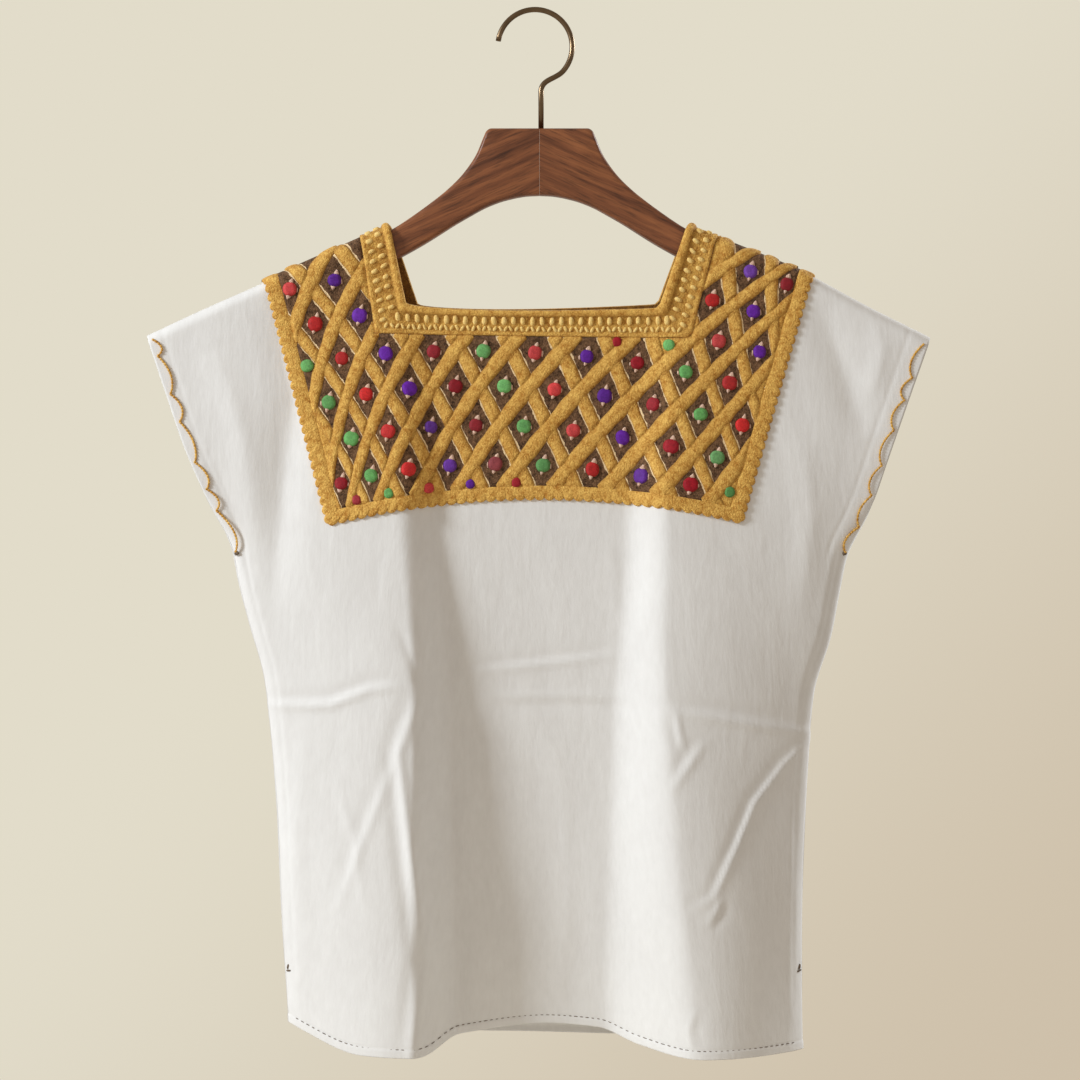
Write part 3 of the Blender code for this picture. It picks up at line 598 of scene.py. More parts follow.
GOLD_DARK = shade(178, 118, 42)
GOLD_LIGHT = shade(255, 210, 114)
GOLD = floss("gold_floss", GOLD_DARK, GOLD_LIGHT)
CREAM = floss("cream_floss", shade(214, 172, 150), shade(244, 214, 192), grains=1300.0)
REVERSE = floss("stitch_backs", shade(92, 56, 22), shade(184, 130, 56), grains=700.0)


# Yoke grounds, front and back. Brown floss in short dense stitches between the gold ropes; cream
# slivers of cotton show beside the falling ropes, and narrow tips at the edges are filled in gold.
SKIN_GAP = 0.7
GROUND = 1.0
ARCH = 0.00077
CENTRE_X = 3.5
YOKE_TOP_LEFT = (-201.6, -167.0)
YOKE_TOP_RIGHT = (206.6, -167.0)
YOKE_LOW_LEFT = (-151.4, -369.8)
YOKE_LOW_RIGHT = (151.2, -369.8)
BAND_INNER = ((-113.5, 0), (-100.0, -227.5), (96.0, -231.0), (119.5, 0))
BAND_OUTER = ((-136.5, 0), (-124.0, -252.0), (121.0, -255.5), (142.5, 0))
BACK_INNER = ((-113.5, 0), (-92.0, -226.0), (96.0, -226.0), (119.5, 0))
BACK_OUTER = ((-136.5, 0), (-116.0, -250.0), (121.0, -250.0), (142.5, 0))
LATTICE_X = (15.1, 39.06, 14.6, -0.87, -0.166, 0.23)
LATTICE_V = (-294.6, -3.1, -31.4, 0.19, 0.045)
LATTICE_SIDE = 7.4      # falling ropes on each side of the middle
CELL_SAMPLES = np.linspace(-0.36, 0.36, 19)      # places sampled in a diamond, each way
FILLED_BELOW = 0.36     # a diamond that shows less than this is filled in gold
TABLE_HALF = 20         # diamonds counted each way from the middle


def arch(x):
    """Droop of the embroidery's rows at X."""
    return ARCH * (x - CENTRE_X) ** 2


def ridge_flat(x):
    """Height of the ridge on the unrolled front view, at an X on the ridge."""
    return ridge_z((x - EDGES[0, 1]) / (EDGES[0, 2] - EDGES[0, 1])) + LIFT


def on_ridge(corners):
    """Neck corners with the first and last set on the ridge."""
    first, *low, last = corners
    return np.array([(first[0], ridge_flat(first[0])), *low, (last[0], ridge_flat(last[0]))])


def lattice(p, q):
    """Flat place of lattice numbers: p counts the falling ropes and q the rising ones."""
    r = q - p
    base, across, lean, close, crowd, flare = LATTICE_X
    x = base + across * p + lean * r + close * p * r + crowd * p ** 3 + flare * p * r * r
    low, tilt, fall, spread_out, bow = LATTICE_V
    return np.stack([
        x, low + tilt * p + fall * r + spread_out * p * r + bow * p ** 3 - arch(x)], -1)


def lattice_numbers(x, z):
    """Lattice numbers (p, q) of flat places, by Newton steps with slopes from small moves."""
    p = np.clip((x - LATTICE_X[0]) / LATTICE_X[1], -5, 5)
    q = p + (z + arch(x) - LATTICE_V[0]) / LATTICE_V[2]
    move = 1e-3
    for _ in range(14):
        at = lattice(p, q)
        by_p = (lattice(p + move, q) - at) / move
        by_q = (lattice(p, q + move) - at) / move
        dx, dz = x - at[..., 0], z - at[..., 1]
        turn = by_p[..., 0] * by_q[..., 1] - by_p[..., 1] * by_q[..., 0]
        p = np.clip(p + (dx * by_q[..., 1] - dz * by_q[..., 0]) / turn, -8.2, 8.2)
        q = q + (dz * by_p[..., 0] - dx * by_p[..., 1]) / turn
    return p, q


def side_gap(x, z, a, b):
    """Distance to the left of the line from a to b."""
    a, b = np.array(a, float), np.array(b, float)
    along = (b - a) / np.hypot(*(b - a))
    return along[0] * (z - a[1]) - along[1] * (x - a[0])


def inset(x, z, band):
    """Distance inside the yoke's outline, negative outside it or in the neck."""
    v = z + arch(x)
    outline = np.minimum.reduce([
        side_gap(x, v, YOKE_TOP_LEFT, YOKE_LOW_LEFT),
        side_gap(x, v, YOKE_LOW_LEFT, YOKE_LOW_RIGHT),
        side_gap(x, v, YOKE_LOW_RIGHT, YOKE_TOP_RIGHT)])
    corners = on_ridge(band)
    neck = np.maximum.reduce([-side_gap(x, z, a, b) for a, b in zip(corners, corners[1:])])
    return np.minimum(outline, neck)


def cell_view(band):
    """For every diamond: its lattice numbers, the share of it that shows and the middle of that
    share, from a fine grid of samples in each."""
    p, q = (n.ravel() for n in np.meshgrid(np.arange(-7, 8), np.arange(-12, 13)))
    u, v = (n.ravel() for n in np.meshgrid(CELL_SAMPLES, CELL_SAMPLES))
    at = lattice(p[:, None] + u, q[:, None] + v)
    shown = inset(at[..., 0], at[..., 1], band) > 0.5
    share = shown.mean(1)
    middle = (at * shown[..., None]).sum(1) / np.maximum(shown.sum(1), 1)[:, None]
    keep = (share > 0.02) & (np.abs(middle[:, 0]) < 225)
    return p[keep], q[keep], share[keep], middle[keep]


def ground_finish():
    """Brown nap; beside the falling ropes a broken sliver of cream; gold where a tip is filled."""
    tree, shader, made = finish("brown_floss", Roughness=0.88, Sheen_Weight=0.06,
                                Specular_IOR_Level=0.15)
    where = node(tree, "ShaderNodeTexCoord").outputs
    nap = effect(tree, NAP, where["Object"], Grains=850.0)
    brown = mix(tree, nap["Tone"], shade(46, 30, 18), shade(146, 110, 80))
    gold = mix(tree, nap["Tone"], GOLD_DARK, GOLD_LIGHT)
    across = node(tree, "ShaderNodeSeparateXYZ", {0: where["UV"]}).outputs[0]
    gap = calc(tree, "ABSOLUTE", calc(tree, "SUBTRACT", calc(tree, "FRACT", across), 0.5))
    ragged = noise(tree, where["Object"], 190.0, Detail=2.0)
    reach = remap(tree, ragged, 0.35, 0.65, 0.165, 0.198)
    sliver = remap(tree, calc(tree, "SUBTRACT", reach, gap), -0.004, 0.004)
    pale = mix(tree, sliver, brown, shade(244, 216, 170))
    plug(tree, shader, Base_Color=mix(tree, attribute(tree, "filled")["Fac"], pale, gold),
         Normal=bumps(tree, (nap["Height"], 0.8, 0.001)))
    return made


BROWN = ground_finish()


def yoke_ground(name, face, band, node_name):
    """Ground between straight lines: columns run from the yoke's left side past both sides of
    the neck band to its right side, rows from the ridge past the band to the lower edge."""
    corners = on_ridge(band)
    lines = [(YOKE_TOP_LEFT, YOKE_LOW_LEFT), (corners[0], corners[1]), (corners[3], corners[2]),
             (YOKE_TOP_RIGHT, YOKE_LOW_RIGHT)]
    across = spread((0.0, 24), (1.0, 80), (2.0, 24), (3.0,))
    down = spread((0.0, 32), (1.0, 40), (2.0,))[:, None]
    k = np.minimum(across.astype(int), 2)
    slope = (corners[2, 1] - corners[1, 1]) / (corners[2, 0] - corners[1, 0])
    x = np.tile(np.array([line[0][0] for line in lines])[k], (len(down), 1))
    for _ in range(12):
        top = ridge_flat(x)
        middle = corners[1, 1] + slope * (x - corners[1, 0])
        bottom = YOKE_LOW_LEFT[1] - arch(x)
        z = np.where(down < 1, top + down * (middle - top),
                     middle + (down - 1) * (bottom - middle))
        sides = []
        for (a, b), bends in zip(lines, (True, False, False, True)):
            height = z + arch(x) if bends else z
            sides.append(a[0] + (b[0] - a[0]) * (height - a[1]) / (b[1] - a[1]))
        sides = np.stack(sides)
        low = np.take_along_axis(sides, np.tile(k, (1, len(down), 1)), 0)[0]
        high = np.take_along_axis(sides, np.tile(k + 1, (1, len(down), 1)), 0)[0]
        x = low + (across - k) * (high - low)
    down = down[:, 0]
    faces = grid(*x.shape)
    row, column = np.divmod(faces[:, 0], len(across))
    inside = (down[row] < 1 - 1e-9) & (across[column] >= 1) & (across[column] < 2 - 1e-9)
    used, faces = kept_quads(face, faces, inside)
    flat = np.stack([x.ravel(), z.ravel()], 1)[used]
    p, q = lattice_numbers(flat[:, 0], flat[:, 1])
    cell_p, cell_q, share, _ = cell_view(band)
    table = np.ones((2 * TABLE_HALF + 1,) * 2)
    table[cell_p + TABLE_HALF, cell_q + TABLE_HALF] = share
    near = table[tuple(np.clip(np.rint(n).astype(int) + TABLE_HALF, 0, 2 * TABLE_HALF)
                       for n in (p, q))]
    filled = (near < FILLED_BELOW).astype(float)
    outer = face.raised(flat, np.full(len(flat), SKIN_GAP + GROUND))
    inner = face.raised(flat, np.full(len(flat), SKIN_GAP))
    points, faces = shell(outer, inner, faces)
    uv = np.stack([p, q], 1)
    made = piece(name, points, faces, BROWN, "yoke_embroidery", np.vstack([uv, uv]),
                 [("filled", np.tile(filled, 2))])
    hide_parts(node_name)
    return made


front_ground = yoke_ground("front_ground", FRONT, BAND_OUTER, "front_yoke")
back_ground = yoke_ground("back_ground", BACK, BACK_OUTER, "back_yoke")


# Gold ropes of the yoke. Bands of floss laid in a slanting lattice and stitched down, about 8 mm
# wide; where two meet, the rising one passes over the falling one.
ROPE_RISE = 1.7
ROPE_SHARES = (0.163, 0.187)     # half widths of falling and rising ropes, in lattice steps
ROPE_PROFILE = np.linspace(-1, 1, 9)
ROPE_STEP = 0.03
FALLING_REACH = 12.5    # half the run of a falling rope, in lattice steps
GROUND_TOP = SKIN_GAP + GROUND - 0.05
ROPE_UNDER = SKIN_GAP + 0.4
SINK = 2.5              # distance in which a rope comes down to the outline
# Share of its height that a rope gains or loses at a crossing, and how far that reaches.
OVER = (0.15, 0.16)
UNDER = (0.62, 0.19)


def joined(parts):
    """Points and faces of several parts as those of one."""
    starts = np.cumsum([0] + [len(points) for points, _ in parts])
    return (np.vstack([points for points, _ in parts]),
            np.vstack([faces + start for (_, faces), start in zip(parts, starts)]))


def ropes(name, face, band):
    """Each rope is a strip along one lattice line. Its height across is a flattened arch, the
    falling ones dip under the rising ones, and all sink to nothing at the yoke's outline."""
    strips, painted_shade = [], []
    for rising in (False, True):
        reach = LATTICE_SIDE if rising else FALLING_REACH
        along = np.arange(-reach, reach, ROPE_STEP)
        for line in np.arange(-11.5, 12.0) if rising else np.arange(-7.5, 8.0):
            fixed = np.full(len(along), line)
            p, q = (along, fixed) if rising else (fixed, along)
            centre = lattice(p, q)
            x, z = centre[:, 0], centre[:, 1]
            shown = (inset(x, z, band) > -4.0) & (z < ridge_flat(x) + 2) & (np.abs(x) < 240)
            steps = np.flatnonzero(shown)
            for run in np.split(steps, np.flatnonzero(np.diff(steps) > 1) + 1):
                if len(run) < 4:
                    continue
                uneven = 1 + 0.05 * np.sin(along[run] * 5 + line) + 0.04 * np.sin(
                    along[run] * 13 + 3 * line)
                side = (ROPE_SHARES[rising] * uneven)[:, None] * ROPE_PROFILE
                at = lattice(p[run, None] + (0 if rising else side),
                             q[run, None] + (side if rising else 0))
                crossing = np.abs(along[run] % 1.0 - 0.5)
                if rising:
                    lift = 1.0 + OVER[0] * np.exp(-(crossing / OVER[1]) ** 2)
                else:
                    lift = 1.0 - UNDER[0] * np.exp(-(crossing / UNDER[1]) ** 4)
                arc = (1 - np.abs(ROPE_PROFILE) ** 2.4) ** 0.75
                sink = np.clip(inset(at[..., 0], at[..., 1], band) / SINK, 0, 1)
                height = ROPE_RISE * lift[:, None] * arc * (0.25 + 0.75 * sink) * np.sign(sink)
                flat = at.reshape(-1, 2)
                top = face.raised(flat, GROUND_TOP + height.ravel())
                low = face.raised(flat, np.full(len(flat), ROPE_UNDER))
                strip = grid(len(run), len(ROPE_PROFILE))
                turn = np.cross(*(top[strip[0, [1, 3]]] - top[strip[0, 0]]))[1]
                if turn * face.sign < 0:
                    strip = strip[:, ::-1]
                strips.append(shell(top, low, strip))
                # Painted shade: darker towards each rope's edges, and on a falling rope where the
                # rising rope's edge crosses it.
                deep = np.tile(0.75 * np.abs(ROPE_PROFILE) ** 4, (len(run), 1))
                if not rising:
                    under = np.exp(-((crossing - ROPE_SHARES[1]) / 0.035) ** 2)
                    deep = np.maximum(deep, 0.8 * under[:, None])
                painted_shade.append(np.tile(deep.ravel(), 2))
    return piece(name, *joined(strips), GOLD, "gold_thread",
                 values=[("painted_shade", np.concatenate(painted_shade))])


front_ropes = ropes("front_ropes", FRONT, BAND_OUTER)
back_ropes = ropes("back_ropes", BACK, BACK_OUTER)


# Knots. One padded dot of satin stitch in every diamond, in red, purple, crimson or green by the
# diagonal it lies on, with a cream point above and below it. Cut diamonds keep a smaller dot.
KNOT_RADIUS = 5.4
KNOT_RISE = 2.1
KNOT_SHOWN = 0.04       # least share of its diamond that shows
KNOT_INSET = 2.0        # least distance inside the outline
KNOT_BELOW = 9.0        # least distance below the ridge
POINTS_SHOWN = 0.55
POINTS_BELOW = 14.0
# Past this X a diamond that shows less than this share of itself has no knot.
BARE_LEFT = (-150.0, 0.37)
BARE_RIGHT = (139.0, 0.26)
KNOT_COLOURS = (shade(216, 40, 38), shade(108, 32, 172), shade(168, 8, 32), shade(114, 190, 104))


def pad(size, point=0.0, square=0.4):
    """Small closed cushion from a square grid pressed partly round, with a steep edge and a flat
    top, over a flat underside; point narrows it towards its upper end."""
    u, v = np.meshgrid(np.linspace(-1, 1, size), np.linspace(1, -1, size))
    x = u * (square + (1 - square) * np.sqrt(1 - v * v / 2)) * (1 - point * (v + 1) / 2)
    z = v * (square + (1 - square) * np.sqrt(1 - u * u / 2))
    height = 0.15 + 0.85 * ((1 - u ** 4) * (1 - v ** 4)) ** 0.5
    top = np.stack([x.ravel(), height.ravel(), z.ravel()], 1)
    low = top * (1, 0, 1)
    return shell(top, low, grid(size, size))


def lay(face, template, centres, turns, sizes, base, rises):
    """Copies of a template on the cloth: stretched, turned and set at their centres on the
    unrolled front view, then raised from the base by their own rises."""
    points, faces = template
    cos, sin = np.cos(turns)[:, None], np.sin(turns)[:, None]
    x = sizes[:, :1] * points[:, 0]
    z = sizes[:, 1:] * points[:, 2]
    flat = np.stack([centres[:, :1] + cos * x - sin * z, centres[:, 1:] + sin * x + cos * z], -1)
    away = base + rises[:, None] * points[:, 1]
    made = face.raised(flat.reshape(-1, 2), away.ravel())
    steps = np.arange(len(centres))[:, None, None] * len(points)
    quads = (faces[None] + steps).reshape(-1, 4)
    return made, quads if face.sign < 0 else quads[:, ::-1]


def coloured_floss():
    """Satin stitch in the colour that each knot carries, with thin thread lines."""
    tree, shader, made = finish("coloured_floss", Roughness=0.6, Sheen_Weight=0.05,
                                Specular_IOR_Level=0.3)
    place = node(tree, "ShaderNodeTexCoord").outputs["Object"]
    nap = effect(tree, NAP, place, Grains=1100.0)
    lines = node(tree, "ShaderNodeTexWave", {"Vector": place, "Scale": 380.0, "Distortion": 1.5,
                 "Detail": 1.0}, bands_direction="Z").outputs["Fac"]
    own = attribute(tree, "thread")["Color"]
    dark = mix(tree, 1.0, own, (0.55, 0.5, 0.55, 1), "MULTIPLY")
    plug(tree, shader, Base_Color=mix(tree, nap["Tone"], dark, own),
         Normal=bumps(tree, (lines, 0.35, 0.0004), (nap["Height"], 0.35, 0.0005)))
    return made


COLOURED = coloured_floss()


def knots(side, face, band, seed):
    """Knots and their cream points. A knot sits in the middle of what shows of its diamond, its
    size falls with that share, and points go only with whole diamonds."""
    rng = np.random.default_rng(seed)
    p, q, share, middle = cell_view(band)
    below = ridge_flat(middle[:, 0]) - middle[:, 1]
    x = middle[:, 0]
    bare = ((x < BARE_LEFT[0]) & (share < BARE_LEFT[1])) | (
        (x > BARE_RIGHT[0]) & (share < BARE_RIGHT[1]))
    keep = (share > KNOT_SHOWN) & (inset(x, middle[:, 1], band) > KNOT_INSET) & (
        below > KNOT_BELOW) & ~bare
    p, q, share, middle, below = p[keep], q[keep], share[keep], middle[keep], below[keep]
    n = len(p)
    size = KNOT_RADIUS * np.clip(0.66 + 0.45 * share, 0.66, 1.0) * rng.uniform(0.94, 1.06, n)
    sizes = size[:, None] * rng.uniform(0.94, 1.08, (n, 2))
    turns = rng.uniform(-0.35, 0.35, n)
    template = pad(9, square=0.08)
    points, faces = lay(face, template, middle, turns, sizes, GROUND_TOP,
                        KNOT_RISE * rng.uniform(0.9, 1.1, n))
    colours = np.array([c[:3] for c in KNOT_COLOURS])[p % 4]
    colours = colours * rng.uniform(0.75, 1.25, (n, 1)) + rng.uniform(0, 1, (n, 1)) ** 3 * 0.07
    thread = np.repeat(colours, len(template[0]), 0)
    dots = piece(side + "_knots", points, faces, COLOURED, "yoke_embroidery",
                 values=[("thread", thread)])
    whole = (share > POINTS_SHOWN) & (below > POINTS_BELOW)
    middle, size, m = middle[whole], size[whole], whole.sum()
    up, side_tip = np.array([0.0, 1.0]), np.array([1.0, 0.0])
    lean = rng.uniform(-0.15, 0.15, m)
    chosen = rng.choice([-1.0, 1.0], m)[:, None]
    parts = [
        lay(face, pad(5, 0.65), middle + (size[:, None] + 0.9) * up + (1.5, 0), lean - 0.3,
            rng.uniform(0.8, 1.15, (m, 2)) * (2.5, 2.2), GROUND_TOP, np.full(m, 1.2)),
        lay(face, pad(5, 0.65), middle - (size[:, None] + 0.6) * up - (1.3, 0),
            lean + math.pi - 0.3, rng.uniform(0.75, 1.15, (m, 2)) * (2.2, 1.8), GROUND_TOP,
            np.full(m, 1.2)),
        lay(face, pad(4), middle + chosen * (size[:, None] + 0.3) * side_tip - 0.8 * up, lean,
            rng.uniform(0.6, 1.2, (m, 2)) * (0.7, 2.2), GROUND_TOP, np.full(m, 0.8)),
    ]
    return dots, piece(side + "_knot_points", *joined(parts), CREAM, "yoke_embroidery")


front_knots = knots("front", FRONT, BAND_OUTER, 4)
back_knots = knots("back", BACK, BACK_OUTER, 9)


# Borders. A gold band along the yoke's sides and lower edge, its outer edge a row of small
# rounded scallops in buttonhole stitch.
BORDER_RIDGE = -164.0
BORDER_CORNERS = np.array([(-211.6, BORDER_RIDGE), (-159.5, -378.7), (159.0, -378.7),
                           (216.6, BORDER_RIDGE)])
SCALLOP_PITCH = 7.6
SCALLOP_DEPTH = 2.2
SCALLOP_STEPS = 8
SCALLOP_BULGE = 0.45
SKIN_UNDER = 0.25       # underside of the border, above the cloth
# Share across the border from its inner edge, height above the cloth.
BORDER_SECTION = np.array([
    (-0.12, 1.2),
    (0.00, 2.0),
    (0.15, 2.5),
    (0.40, 2.6),
    (0.70, 2.5),
    (0.88, 2.1),
    (0.97, 1.4),
    (1.00, 0.3),
])


def border(name, face, node_name):
    """Band between two polylines; the outer one swings out in half sines, one a scallop, and
    each scallop is a little higher in its middle."""
    inner = np.array([YOKE_TOP_LEFT, YOKE_LOW_LEFT, YOKE_LOW_RIGHT, YOKE_TOP_RIGHT])
    edge, rail, swell = [], [], []
    for a, b, c, d in zip(BORDER_CORNERS, BORDER_CORNERS[1:], inner, inner[1:]):
        run = b - a
        length = np.hypot(*run)
        outward = np.array([run[1], -run[0]]) / length
        count = round(length / SCALLOP_PITCH)
        share = np.arange(count * SCALLOP_STEPS) / (count * SCALLOP_STEPS)
        wave = np.abs(np.sin(math.pi * share * count)) ** 0.7
        edge.append(a + share[:, None] * run + (SCALLOP_DEPTH * wave)[:, None] * outward)
        rail.append(c + share[:, None] * (d - c))
        swell.append(wave)
    edge = np.vstack(edge + [BORDER_CORNERS[-1:]])
    rail = np.vstack(rail + [inner[-1:]])
    swell = np.concatenate(swell + [[0.0]])
    across = BORDER_SECTION[:, 0]
    flat = rail[:, None] + across[None, :, None] * (edge - rail)[:, None]
    flat[..., 1] -= arch(flat[..., 0])
    bulge = SCALLOP_BULGE * swell[:, None] * np.clip(across, 0, 1) ** 2 * (across < 0.99)
    top = face.raised(flat.reshape(-1, 2), (BORDER_SECTION[:, 1] + bulge).ravel())
    low = face.raised(flat.reshape(-1, 2), np.full(len(top), SKIN_UNDER))
    faces = grid(*flat.shape[:2])
    points, faces = shell(top, low, faces if face.sign > 0 else faces[:, ::-1])
    made = piece(name, points, faces, GOLD, "gold_thread")
    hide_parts(node_name)
    return made


front_edge = border("front_scallops", FRONT, "front_border")
back_edge = border("back_scallops", BACK, "back_border")


# Neck band. One ring of gold floss round the square neck and over both shoulders: a rolled rim at
# the edge, then two rows of pale stitches, upright ones next to the rim and slanting ones outside.
BAND_STEPS = 90
STRAP_STEPS = 34
# Share across the band from its inner edge, height above the cloth.
BAND_SECTION = np.array([
    (0.03, 0.3),
    (0.00, 1.6),
    (0.02, 2.8),
    (0.06, 3.7),
    (0.12, 4.0),
    (0.18, 3.7),
    (0.23, 2.9),
    (0.26, 1.9),
    (0.43, 1.7),
    (0.60, 2.1),
    (0.78, 1.8),
    (0.88, 2.8),
    (0.95, 2.9),
    (1.00, 1.2),
])
# Painted shade at each point of the section above: at the band's edges, at the foot of the rolled
# rim and in the low ground of the two stitch rows.
BAND_PAINTED_SHADE = np.array((0.5, 0.3, 0, 0, 0, 0, 0.3, 0.8, 0.6, 0.3, 0.5, 0.1, 0, 0.4))


def band_rails(inner, outer):
    """Pairs of inner and outer points down the left strap, across and up the right strap."""
    inner, outer = on_ridge(inner), on_ridge(outer)
    strap = np.linspace(0, 1, STRAP_STEPS, endpoint=False) ** 1.3
    lower = np.linspace(0, 1, BAND_STEPS, endpoint=False)
    shares = (strap, lower, np.concatenate([1 - strap[:0:-1], [1.0]]))
    near, far = (np.vstack([path[k] + shares[k][:, None] * (path[k + 1] - path[k])
                            for k in range(3)]) for path in (inner, outer))
    near[STRAP_STEPS:STRAP_STEPS + BAND_STEPS, 1] -= neck_dip(lower)
    return near, far


def neck_band():
    """Ring of sections on the cloth, front then back, closed on itself."""
    rings = []
    for face, inner, outer in ((FRONT, BAND_INNER, BAND_OUTER), (BACK, BACK_INNER, BACK_OUTER)):
        near, far = band_rails(inner, outer)
        at = near[:, None] + BAND_SECTION[None, :, :1] * (far - near)[:, None]
        away = np.tile(BAND_SECTION[:, 1], (len(near), 1))
        rings.append(face.raised(at, away))
    loop = np.concatenate([rings[0], rings[1][-2:0:-1]])
    rows, count = loop.shape[:2]
    k = np.arange(rows)[:, None] * count + np.arange(count)
    after = np.roll(k, -1, 0)
    faces = np.stack([k, np.roll(k, -1, 1), np.roll(after, -1, 1), after], -1)
    # The section's painted shade goes onto every ring.
    made = piece("neck_braid", loop.reshape(-1, 3), faces.reshape(-1, 4), GOLD, "gold_thread",
                 values=[("painted_shade", np.tile(BAND_PAINTED_SHADE, rows))])
    made.data.materials.append(REVERSE)
    under = np.zeros(rows * count, np.int32)
    under[count - 1::count] = 1
    made.data.polygons.foreach_set("material_index", under)
    outward(made)
    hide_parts("neck_band")
    return made


def outward(made):
    """Turns a closed piece's faces outwards."""
    bm = bmesh.new()
    bm.from_mesh(made.data)
    bmesh.ops.recalc_face_normals(bm, faces=bm.faces)
    bm.to_mesh(made.data)
    bm.free()


neck_braid = neck_band()
PALE = floss("pale_gold_floss", shade(224, 178, 92), shade(255, 230, 156), grains=1500.0,
             deep=0.4)
STITCH_ROWS = (0.42, 0.715)     # shares across the band
STITCH_BASE = 1.5
STRAP_PITCH = 7.3
FRONT_PITCHES = (7.4, 4.2)
STRAP_STITCH = (1.75, 3.0)      # half width, half length
FRONT_STITCHES = ((2.0, 3.7), (1.25, 2.8))
STRAP_SLANT = 0.3
FRONT_SLANT = 0.5


def band_stitches(name, face, inner, outer, seed):
    """Padded stitches in two rows. Across the front the first row lies square to the edge and the
    second in small Vs; on the straps both rows slant alike, offset by half a step."""
    rng = np.random.default_rng(seed)
    made = []
    for k, (near, far) in enumerate(zip(zip(inner, inner[1:]), zip(outer, outer[1:]))):
        near, far = np.array(near), np.array(far)
        for row, share in enumerate(STITCH_ROWS):
            strap = k != 1
            pitch = STRAP_PITCH if strap else FRONT_PITCHES[row]
            rail = near + share * (far - near)
            run = rail[1] - rail[0]
            n = int(np.hypot(*run) / pitch)
            u = (np.arange(n) + (0.5 if row else 0.15 if strap else 0.5)) / n
            centres = rail[0] + u[:, None] * run + rng.normal(0, 0.2, (n, 2))
            if not strap:
                centres[:, 1] -= (1 - share) * neck_dip(u)
            turn = np.full(n, math.atan2(run[1], run[0]))
            if strap:
                turn += STRAP_SLANT * (-1 if k else 1)
            elif row:
                turn += FRONT_SLANT * np.where(np.arange(n) % 2, 1, -1)
            size = STRAP_STITCH if strap else FRONT_STITCHES[row]
            sizes = rng.uniform(0.88, 1.1, (n, 2)) * size
            made.append(lay(face, pad(6, square=0.2), centres, turn + rng.normal(0, 0.07, n),
                            sizes, STITCH_BASE, np.full(n, 2.0 if strap or not row else 1.5)))
    return piece(name, *joined(made), PALE, "gold_thread")


front_stitches = band_stitches("front_band_stitches", FRONT, on_ridge(BAND_INNER),
                               on_ridge(BAND_OUTER), 5)
back_stitches = band_stitches("back_band_stitches", BACK, on_ridge(BACK_INNER),
                              on_ridge(BACK_OUTER), 6)


# Sleeve edges. A line of gold chain stitch in shallow scallops along the turned hem of each cap
# sleeve, front and back, ending in a small dark knot at the underarm.
CUSPS = {
    "left": (-256.0, -268.7, -298.4, -319.8, -351.4, -372.1, -388.4, -421.3),
    "right": (-259.4, -285.9, -303.0, -326.4, -353.7, -377.1, -401.3, -421.6),
}
CUSP_INSET = 3.4
CHAIN_DEPTH = 5.6
CHAIN_LINK = 2.6
CHAIN_STEP = 0.45
CHAIN_SIDES = 8
ARC_STEPS = 60           # steps between two cusps


def edge_at(z, side):
    """X of the garment's edge at a flat height, on the left or right side."""
    s = 0.0 if side == "left" else 1.0
    t = (ridge_z(s) - z) / FRONT.length(s)
    return smooth(t, EDGES, 1 if side == "left" else 2)


def tube(rings, count):
    """Quads round rings of points, numbered ring by ring."""
    k = np.arange(rings - 1)[:, None] * count + np.arange(count)
    after = np.arange(rings - 1)[:, None] * count + (np.arange(count) + 1) % count
    return np.stack([k, after, after + count, k + count], -1).reshape(-1, 4)


def chain(face, side):
    """Flattened tube that swells and narrows once a link, along arcs between the cusps."""
    cusps = np.array(CUSPS[side])
    z = np.concatenate([np.linspace(a, b, ARC_STEPS, endpoint=False)
                        for a, b in zip(cusps, cusps[1:])] + [cusps[-1:]])
    share = np.concatenate([np.tile(np.linspace(0, 1, ARC_STEPS, endpoint=False),
                                    len(cusps) - 1), [0]])
    inward = CUSP_INSET + CHAIN_DEPTH * np.sin(math.pi * share) ** 0.75
    way = 1 if side == "left" else -1
    path = np.stack([edge_at(z, side) + way * inward, z], 1)
    run = np.concatenate([[0], np.cumsum(np.hypot(*np.diff(path, axis=0).T))])
    even = np.arange(0, run[-1], CHAIN_STEP)
    path = np.stack([np.interp(even, run, path[:, 0]), np.interp(even, run, path[:, 1])], 1)
    step = np.gradient(path, axis=0)
    step /= np.hypot(*step.T)[:, None]
    normal = np.stack([step[:, 1], -step[:, 0]], 1)
    size = 0.55 + 0.4 * np.abs(np.sin(math.pi * even / CHAIN_LINK))
    size[[0, -1]] = 0.05
    angle = np.arange(CHAIN_SIDES) * 2 * math.pi / CHAIN_SIDES
    flat = path[:, None] + normal[:, None] * (size[:, None] * np.cos(angle))[..., None]
    away = 0.35 + 0.75 * size[:, None] * (1 + np.sin(angle))
    return face.raised(flat, away).reshape(-1, 3), tube(len(path), CHAIN_SIDES)


def sleeve_chains():
    """The four chain lines as one piece, closed at both ends by a cap of quads."""
    caps = np.array([(0, 1, 2, 3), (0, 3, 4, 5), (0, 5, 6, 7)])
    lines = []
    for face in (FRONT, BACK):
        for side in ("left", "right"):
            own, quads = chain(face, side)
            lines.append((own, np.vstack([quads, caps, caps[:, ::-1] + len(own) - CHAIN_SIDES])))
    made = piece("sleeve_chains", *joined(lines), GOLD, "gold_thread")
    outward(made)
    return made


sleeve_edges = sleeve_chains()


# Hem stitching. Short running stitches in grey-brown thread that hold the turned hem, a bar at the
# top of each side slit and a small knot under each arm.
HEM_THREAD = floss("hem_thread", shade(84, 70, 58), shade(150, 132, 112), grains=1800.0)
HEM_STITCH = (4.4, 1.25, 0.32)      # pitch, half length, half width
